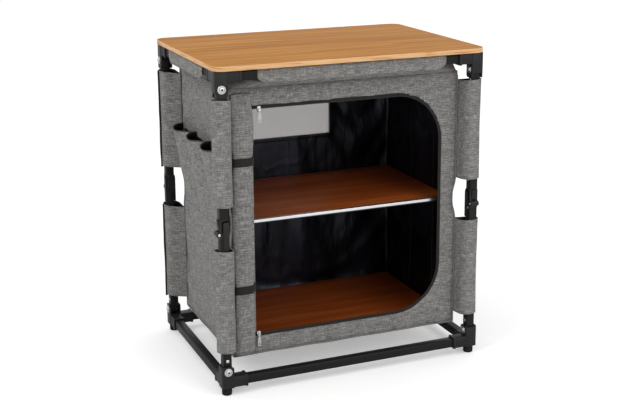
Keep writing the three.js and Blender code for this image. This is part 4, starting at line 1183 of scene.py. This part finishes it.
class CUPBOARD_OT_window(bpy.types.Operator):
    """Back window: grey net inside the back wall, under a border of black tape with round corners"""

    bl_idname = "cupboard.window"
    bl_label = "Net window"

    def execute(self, context):
        left, right, low, high = WINDOW
        middle, hidden = (low + high) / 2, 7
        net_size = right - left + 2 * hidden, high - low + 2 * hidden

        def place(u, v):
            x, z = (0.5 - u) * net_size[0], middle + (v - 0.5) * net_size[1]
            return x, 192.2 + 0.6 * waves(x, z, 31.0, 120), z

        piece = open_sheet("window_net_sheet", 52, 30, place, net_size, "net", "net", 0.4)
        fold_away(piece, "window_net")
        for name, look, y, grow in (("inner", "lining", 190.4, 9), ("outer", "webbing", 196.1, 7)):
            size = Matrix.Diagonal(((right - left + 2 * grow) * MM, (high - low + 2 * grow) * MM, 1, 1))
            place = Matrix.Translation((0, y * MM, middle * MM)) @ Matrix.Rotation(math.pi / 2, 4, "X")
            bm = bmesh.new()
            bmesh.ops.create_grid(bm, x_segments=1, y_segments=1, size=0.5, matrix=place @ size)
            bevel(bm, bm.verts[:], 9 * MM, 6, "VERTICES")
            inset = {"thickness": (grow + 2) * MM, "use_even_offset": True, "use_boundary": True}
            bmesh.ops.inset_region(bm, faces=bm.faces[:], **inset)
            inside = min(bm.faces, key=lambda f: (f.calc_center_median() - place.translation).length)
            bmesh.ops.delete(bm, geom=[inside], context="FACES_ONLY")
            bmesh.ops.solidify(bm, geom=bm.faces[:], thickness=1.0 * MM)
            bmesh.ops.recalc_face_normals(bm, faces=bm.faces)
            round_edges(bm, 0.25 * MM, 2, 60)
            finish_piece(bm, f"window_border_{name}", look, "base", smooth=45, squash=FOLD)
        return {"FINISHED"}


class CUPBOARD_OT_pockets(bpy.types.Operator):
    """Side pockets: a panel sewn on the left wall and three open bags, widest at their bound mouths"""

    bl_idname = "cupboard.pockets"
    bl_label = "Side pockets"

    # Places and sizes in mm: the rear edge, one bag's width, how many there are, the bags' foot and
    # mouth, the panel's height, the bags' depth, and the panel's place before the wall
    back, pitch, count, low, high, panel_height, depth, face = 172, 116, 3, 380, 586, 216, 39, -300.4

    def place(self, u, v):
        across = math.sin(math.pi * ((u * self.count) % 1) ** 0.85)
        y = self.back - u * self.count * self.pitch
        z = self.low + v * (self.high - self.low)
        # Pleats run up from the bags' lower corners, and the rims hang a little in the middle
        pleat = 2.4 * math.sin(across * 8 + 1.5 * v) * (1 - v) * smoothstep(0.05, 0.3, v) * across
        soft = 1.8 * waves(y * 1.3, z, 40.0, 42) * smoothstep(0.1, 0.5, v) * across
        bulge = self.depth * math.sqrt(max(0.0, across)) * (0.9 * v + 0.1 * math.sin(v * math.pi / 2))
        x = self.face - 1.6 - bulge - pleat - soft * (1 - 0.4 * v)
        return x, y, z - 3.5 * across**2 * smoothstep(0.6, 1.0, v) * (1 + 0.8 * u)

    def execute(self, context):
        length, top = self.count * self.pitch, self.low + self.panel_height

        def panel(u, v):
            return self.face, self.back - u * length, self.low + v * self.panel_height

        size = length, self.panel_height
        piece = open_sheet("pocket_panel", 60, 30, panel, size, "lining cloth", thickness=1.2, inner=0, rim=0)
        for face in piece.data.polygons:
            face.material_index = int(face.center.z > (self.high - 15) * MM)
        fold_away(piece)
        piece = open_sheet("pocket_bags", 120, 40, self.place, (440, 206), "cloth lining cloth", thickness=1.3)
        fold_away(piece, "side_pockets", way=POCKET_FOLD)
        rim = [self.place(i / 120, 1.0) for i in range(121)]
        hem = [(x - 0.2, y, z + 0.3) for x, y, z in rim]
        bead("pocket_hem", [hem], 1.3, "thread", squash=POCKET_FOLD)
        ends = [self.back - i * self.pitch for i in range(self.count + 1)]
        seams = [[(self.face - 2.4, y, self.low + 2 + i * 12) for i in range(18)] for y in ends]
        bead("pocket_seams", seams, 0.7, "cloth")
        edge = [(self.face - 0.6, self.back - i * 12, top) for i in range(30)]
        bead("pocket_panel_hem", [edge], 1.5, "cloth")
        return {"FINISHED"}


class CUPBOARD_OT_rolled_door(bpy.types.Operator):
    """Rolled door: one sheet wound flat round itself, drawn in where its two straps hold it"""

    bl_idname = "cupboard.rolled_door"
    bl_label = "Rolled door and straps"

    turns, winding, length = 4.9, 1.55, 640.0
    straps = {"upper": 565, "lower": 251}

    def squeeze(self, z):
        """How much of its size the roll keeps at a height, near the straps less than 1."""
        return 1 - 0.13 * sum(math.exp(-(((z - strap) / 24) ** 2)) for strap in self.straps.values())

    def ring(self, angle, shrink, z):
        """A place on one turn of the roll. shrink is how far in the turn lies, in mm."""
        taper = (z - ROLL_LOW) / (ROLL_HIGH - ROLL_LOW)
        # Its upper end lies flat on the wall under the header
        flat = 1 - 0.62 * smoothstep(ROLL_HIGH - 55, ROLL_HIGH + 8, z)
        half_width = (25.0 + 3.4 * taper) * self.squeeze(z) * (1 - 0.2 * (1 - flat)) - shrink
        half_depth = ((9.8 + 0.8 * taper) * self.squeeze(z) - shrink) * flat
        c, n = math.cos(angle), math.sin(angle)
        fold = 1 + 0.045 * waves(math.degrees(angle) * 0.55, z, 51.0, 60) * (1.2 - self.squeeze(z)) * 5
        x = math.copysign(abs(c) ** 0.8, c) * half_width * fold
        y = math.copysign(abs(n) ** 0.8, n) * half_depth * (1 + (fold - 1) * 0.7)
        return ROLL_X - 2.5 * (1 - taper) + x, -195.6 - 10.9 * (0.08 + 0.92 * flat) + y

    def execute(self, context):
        def place(u, v):
            z = ROLL_LOW + v * self.length
            angle = math.pi / 2 + u * self.turns * 2 * math.pi
            x, y = self.ring(angle, u * self.turns * self.winding, z)
            # The lower end is rounded, as the door's corner is
            round_off = max(0.0, math.cos(angle) * 0.9) ** 2 * 17 + u * 5
            z += round_off * (1 - smoothstep(0, 0.09, v))
            z -= u * 6 * smoothstep(0.95, 1.0, v)
            return x, y, z

        bm = sheet_grid(round(self.turns * 26), 78, place, (0.5, self.length * MM))
        face_out(bm, (0, -1, 0))
        piece = finish_piece(bm, "rolled_door_cloth", LINED, "base", smooth=60)
        thicken(piece, 1.1)
        fold_away(piece, "rolled_door", way=DOOR_FOLD)
        for name, height in self.straps.items():
            self.strap(name, height)
        return {"FINISHED"}

    def strap(self, name, height):
        """A strap from the wall round the roll's front half and back to the wall."""
        points, steps, width = [(-299.4, -195.7), (-298.6, -197.5)], 20, 20
        for i in range(steps + 1):
            x, y = self.ring(math.pi + math.pi * i / steps, -1.1, height)
            points.append((min(-241.2, max(-298.6, x)), min(-197.8, y)))
        points += [(-240.9, -197.5), (-240.8, -195.7)]

        def place(u, v):
            x, y = on_path(points, u)[0]
            return x, y, height + (v - 0.5) * width + 0.5 * waves(u * 60, v * 20, 61.0, 30)

        bm = sheet_grid(56, 5, place, (path_length(points) * MM, width * MM))
        piece = finish_piece(bm, f"door_strap_{name}_webbing", "webbing", "base", smooth=50)
        thicken(piece, 1.3)
        fold_away(piece, f"door_strap_{name}", way=DOOR_FOLD)


# Zip
class CUPBOARD_OT_zip(bpy.types.Operator):
    """Zip: black tape round the opening in its three lengths, with the coil's teeth on its inner edge"""

    bl_idname = "cupboard.zip"
    bl_label = "Zip tape"

    def execute(self, context):
        edge = door_edge(3.0)
        straight = [p for p in edge if p[0] < DOOR_TURN_X - 1]
        upper = [p for p in straight if p[1] > DOOR_MIDDLE]
        lower = [p for p in straight if p[1] < DOOR_MIDDLE]
        round_side = [p for p in edge if p[0] > DOOR_TURN_X + 1]
        # The lengths meet where the corners begin, and the outer ones start 2 mm outside the opening
        meet, start = 0.15, DOOR_LEFT - 2
        top = [(start, DOOR_TOP)] + upper + [(DOOR_TURN_X - meet, DOOR_TOP)]
        side = [(DOOR_TURN_X + meet, DOOR_TOP)] + round_side + [(DOOR_TURN_X + meet, DOOR_BOTTOM)]
        bottom = [(DOOR_TURN_X - meet, DOOR_BOTTOM)] + lower + [(start, DOOR_BOTTOM)]
        for name, line, body, squash in (
            ("top", top, "zip_top", None),
            ("side", side, "base", FOLD),
            ("bottom", bottom, "zip_bottom", None),
        ):
            self.tape(name, line, body, squash)
            self.teeth(name, line, body, squash)
        return {"FINISHED"}

    def frames(self, line, step):
        """Evenly spaced places along a line, each with its inward direction and its own."""
        count = max(2, round(path_length(line) / step))
        spots = []
        for i in range(count + 1):
            (x, z), along = on_path(line, i / count)
            spots.append((x, z, (along[1], -along[0]), along))
        return spots

    def tape(self, name, line, body, squash):
        """One length of tape, which bows off the cloth along its middle."""
        spots, width = self.frames(line, 5.0), 8

        def place(u, v):
            x, z, inward, _ = spots[round(u * (len(spots) - 1))]
            across = (v - 0.5) * width
            y = -195.5 - 0.55 * math.cos(math.pi * (v - 0.5))
            return x + inward[0] * across, y, z + inward[1] * across

        bm = sheet_grid(len(spots) - 1, 4, place, (path_length(line) * MM, width * MM))
        face_out(bm, (0, -1, 0))
        piece = finish_piece(bm, f"zip_tape_{name}_woven", "webbing", body, smooth=50)
        bake(thicken(piece, 0.5, 1.0))
        if squash:
            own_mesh(piece)
        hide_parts(f"zip_tape_{name}")

    def teeth(self, name, line, body, squash):
        """Coil teeth every 2 mm, drawn a little coarser than a real coil so that they show."""
        bm, inset = bmesh.new(), 3.3
        for x, z, inward, along in self.frames(line, 2.0)[:-1]:
            at = Vector((x + inward[0] * inset, -196.3, z + inward[1] * inset)) * MM
            turn = Matrix.Rotation(-math.atan2(along[1], along[0]), 4, "Y")
            block(bm, Matrix.Translation(at) @ turn, (0, 0, 0), (1.1, 1.0, 2.6))
        finish_piece(bm, f"zip_coil_{name}", "coil", body, smooth=0, squash=squash)


class CUPBOARD_OT_sliders(bpy.types.Operator):
    """Zip sliders and pulls: die castings with rounded edges"""

    bl_idname = "cupboard.sliders"
    bl_label = "Zip sliders and pulls"

    def execute(self, context):
        for level in ("upper", "lower"):
            for part, width in (("slider", 0.45), ("pull", 0.35)):
                node = f"zip_{part}_{level}"
                bm = cad_bmesh(node)
                round_edges(bm, width * MM, 2, 30)
                finish_piece(bm, f"{node}_casting", "zinc", f"{part}_{level}", [node], smooth=45)
        return {"FINISHED"}


class CUPBOARD_OT_seams(bpy.types.Operator):
    """Seams: piping up the cabinet's corners, black hems along the leg sleeves' seams, the wall's lower
    binding, the shelf's ledge and the sleeves sewn in the right wall's lining"""

    bl_idname = "cupboard.seams"
    bl_label = "Seams and ledge"

    def execute(self, context):
        corners = []
        for sign_x, sign_y in map(signs, CORNERS):
            line = []
            for z in range(FLOOR_Z + 1, WALL_TOP, 12):
                out = 0.2 - drawn_in(sign_y, z, 0)
                line.append((sign_x * (BOX_X + out), sign_y * (BOX_Y + out), z))
            corners.append(line)
        bead("corner_piping", corners, 1.4, "cloth")
        hem, steps, out = [], GIRTH // 10, 0.4
        for i in range(steps):
            x, y, normal, _, _ = wall_path(i * 10)
            hem.append((x + normal[0] * out, y + normal[1] * out, wall_place(i / steps, 0)[2]))
        bead("lower_binding", [hem], 1.6, "cloth", closed=True)
        # The lining's own seams on the right wall
        inner = [[(BOX_X - 2.2, y, 110 + i * 10) for i in range(60)] for y in LINING_SEAMS]
        bead("lining_seams", inner, 1.0, "webbing")
        # The rear sleeves close with a black hem down their outer edge
        for level, way in (("lower", FOLD), ("upper", SLEEVE_FOLD)):
            low, high = SLEEVES[level]
            closing = [self.closing_hem(side, low, high) for side in (-1, 1)]
            bead(f"{level}_sleeve_hems", closing, 2.8, "webbing", squash=way)
        bm = cad_bmesh("shelf_ledge")
        round_edges(bm, 0.5 * MM, 2, 60)
        finish_piece(bm, "shelf_ledge_webbing", "webbing", "ledge", ["shelf_ledge"])
        return {"FINISHED"}

    def closing_hem(self, side, low, high):
        """Points down the outer edge of a rear sleeve."""
        points, steps = [], 26
        for i in range(steps + 1):
            out = 20.8 + 1.3 * waves(i * 9.0, low, 71.0 + side, 70)
            points.append((side * (LEG_X + out), LEG_Y - 8, low + 1 + (high - low - 2) * i / steps))
        return points


# Picture
class CUPBOARD_OT_stage(bpy.types.Operator):
    """Stage: the camera of the photograph, a pale floor, three soft lamps and an even surround"""

    bl_idname = "cupboard.stage"
    bl_label = "Camera, floor and light"

    # The camera as fitted to the photograph: its place in metres, its turns in radians and its lens
    eye, pan, tilt, roll = (-1.16483, -2.8110, 1.25177), 0.3959, 0.2355, 0.0056
    lens, sensor, shift = 68.376, 36.0, -0.078

    def execute(self, context):
        settings = context.scene.cupboard_stage
        scene = context.scene
        scene.view_settings.view_transform = "Standard"
        self.camera(scene)
        bm = bmesh.new()
        bmesh.ops.create_grid(bm, x_segments=8, y_segments=8, size=6.0)
        mesh = bpy.data.meshes.new("floor")
        bm.to_mesh(mesh)
        bm.free()
        floor = bpy.data.objects.new("floor", mesh)
        scene.collection.objects.link(floor)
        mesh.materials.append(self.floor_paint(settings))
        self.lamp("key_softbox", (-2.8, -0.9, 3.1), (0, 0, 0.45), 2.2, settings.key_power)
        self.lamp("fill_softbox", (1.2, -3.3, 2.5), (0.1, 0, 0.4), 2.6, settings.fill_power)
        self.lamp("top_softbox", (0.4, 0.6, 3.2), (0, 0, 0.8), 2.2, settings.top_power)
        self.surround(scene, settings)
        return {"FINISHED"}

    def camera(self, scene):
        """The camera that took the photograph."""
        data = bpy.data.cameras.new("photo_camera")
        data.lens, data.sensor_width, data.shift_y = self.lens, self.sensor, self.shift
        camera = bpy.data.objects.new("photo_camera", data)
        turn = Matrix.Rotation(-self.pan, 4, "Z") @ Matrix.Rotation(math.pi / 2 - self.tilt, 4, "X")
        camera.matrix_world = Matrix.Translation(self.eye) @ turn @ Matrix.Rotation(-self.roll, 4, "Z")
        scene.collection.objects.link(camera)
        scene.camera = camera

    def floor_paint(self, settings):
        """Matt studio paint. To the camera it is white where the light falls on it, and shaded under the
        cupboard."""
        made, tree, inputs = material("Studio floor, matt paint", "#F4F4F3", 0.95, Specular_IOR_Level=0.1)
        inputs["Base Color"].default_value = (*settings.backdrop, 1)
        inputs["Emission Color"].default_value = (1, 1, 1, 1)
        # The lamps light the far floor less, so its glow grows from 1 m to 4 m out
        away = add(tree, "VectorMath", {0: add(tree, "TexCoord").outputs["Object"]}, operation="LENGTH")
        spread = {"Value": away.outputs["Value"], "From Min": 1.0, "From Max": 4.0}
        glow = add(tree, "MapRange", {**spread, "To Min": settings.floor_glow, "To Max": 0.55})
        seen = add(tree, "LightPath").outputs["Is Camera Ray"]
        add(tree, "Math", {0: seen, 1: glow}, feeds=inputs["Emission Strength"], operation="MULTIPLY")
        return made

    def lamp(self, name, place, target, size, power):
        """A round white softbox at place, turned to target, both in metres."""
        data = bpy.data.lights.new(name, "AREA")
        data.shape, data.size, data.energy = "DISK", size, power
        lamp = bpy.data.objects.new(name, data)
        aim = (Vector(target) - Vector(place)).to_track_quat("-Z", "Y").to_matrix().to_4x4()
        lamp.matrix_world = Matrix.Translation(place) @ aim
        bpy.context.scene.collection.objects.link(lamp)

    def surround(self, scene, settings):
        """Even light all round, and white to the camera and in reflections."""
        world = bpy.data.worlds.new("studio")
        scene.world = world
        world.use_nodes = True
        tree = world.node_tree
        tree.nodes.clear()
        rays = add(tree, "LightPath").outputs
        seen = add(tree, "Math", {0: rays["Is Camera Ray"], 1: rays["Is Glossy Ray"]}, operation="MAXIMUM")
        shown = add(tree, "Math", {0: seen, 1: rays["Is Transmission Ray"]}, operation="MAXIMUM")
        strength = add(tree, "MapRange", {"Value": shown, "To Min": settings.ambient, "To Max": 1.0})
        light = add(tree, "Background", {"Color": linear("#FFFFFF"), "Strength": strength})
        add(tree, "OutputWorld", {"Surface": light})


OPERATORS = (
    CUPBOARD_OT_tubes,
    CUPBOARD_OT_hubs,
    CUPBOARD_OT_feet,
    CUPBOARD_OT_knees,
    CUPBOARD_OT_fasteners,
    CUPBOARD_OT_boards,
    CUPBOARD_OT_walls,
    CUPBOARD_OT_floor,
    CUPBOARD_OT_header,
    CUPBOARD_OT_sleeves,
    CUPBOARD_OT_window,
    CUPBOARD_OT_pockets,
    CUPBOARD_OT_rolled_door,
    CUPBOARD_OT_zip,
    CUPBOARD_OT_sliders,
    CUPBOARD_OT_seams,
    CUPBOARD_OT_stage,
)


class CUPBOARD_PT_panel(bpy.types.Panel):
    """The cupboard's pieces, in the order in which they are made"""

    bl_idname = "CUPBOARD_PT_panel"
    bl_label = "Camp cupboard"
    bl_space_type = "VIEW_3D"
    bl_region_type = "UI"
    bl_category = "Cupboard"

    def draw(self, context):
        scene = context.scene
        for settings in (scene.cupboard_frame, scene.cupboard_cloth, scene.cupboard_stage):
            box = self.layout.box()
            for name in settings.__annotations__:
                box.prop(settings, name)
        for made in OPERATORS:
            self.layout.operator(made.bl_idname)


SETTINGS = {
    "cupboard_frame": CupboardFrameSettings,
    "cupboard_cloth": CupboardClothSettings,
    "cupboard_stage": CupboardStageSettings,
}


def register():
    for made in (*SETTINGS.values(), *OPERATORS, CUPBOARD_PT_panel):
        bpy.utils.register_class(made)
    for name, group in SETTINGS.items():
        setattr(bpy.types.Scene, name, PointerProperty(type=group))


def unregister():
    for name in SETTINGS:
        delattr(bpy.types.Scene, name)
    for made in reversed((*SETTINGS.values(), *OPERATORS, CUPBOARD_PT_panel)):
        bpy.utils.unregister_class(made)


def main():
    register()
    LOOKS.update(finishes())
    for made in OPERATORS:
        group, name = made.bl_idname.split(".")
        getattr(getattr(bpy.ops, group), name)()


if __name__ == "__main__":
    main()
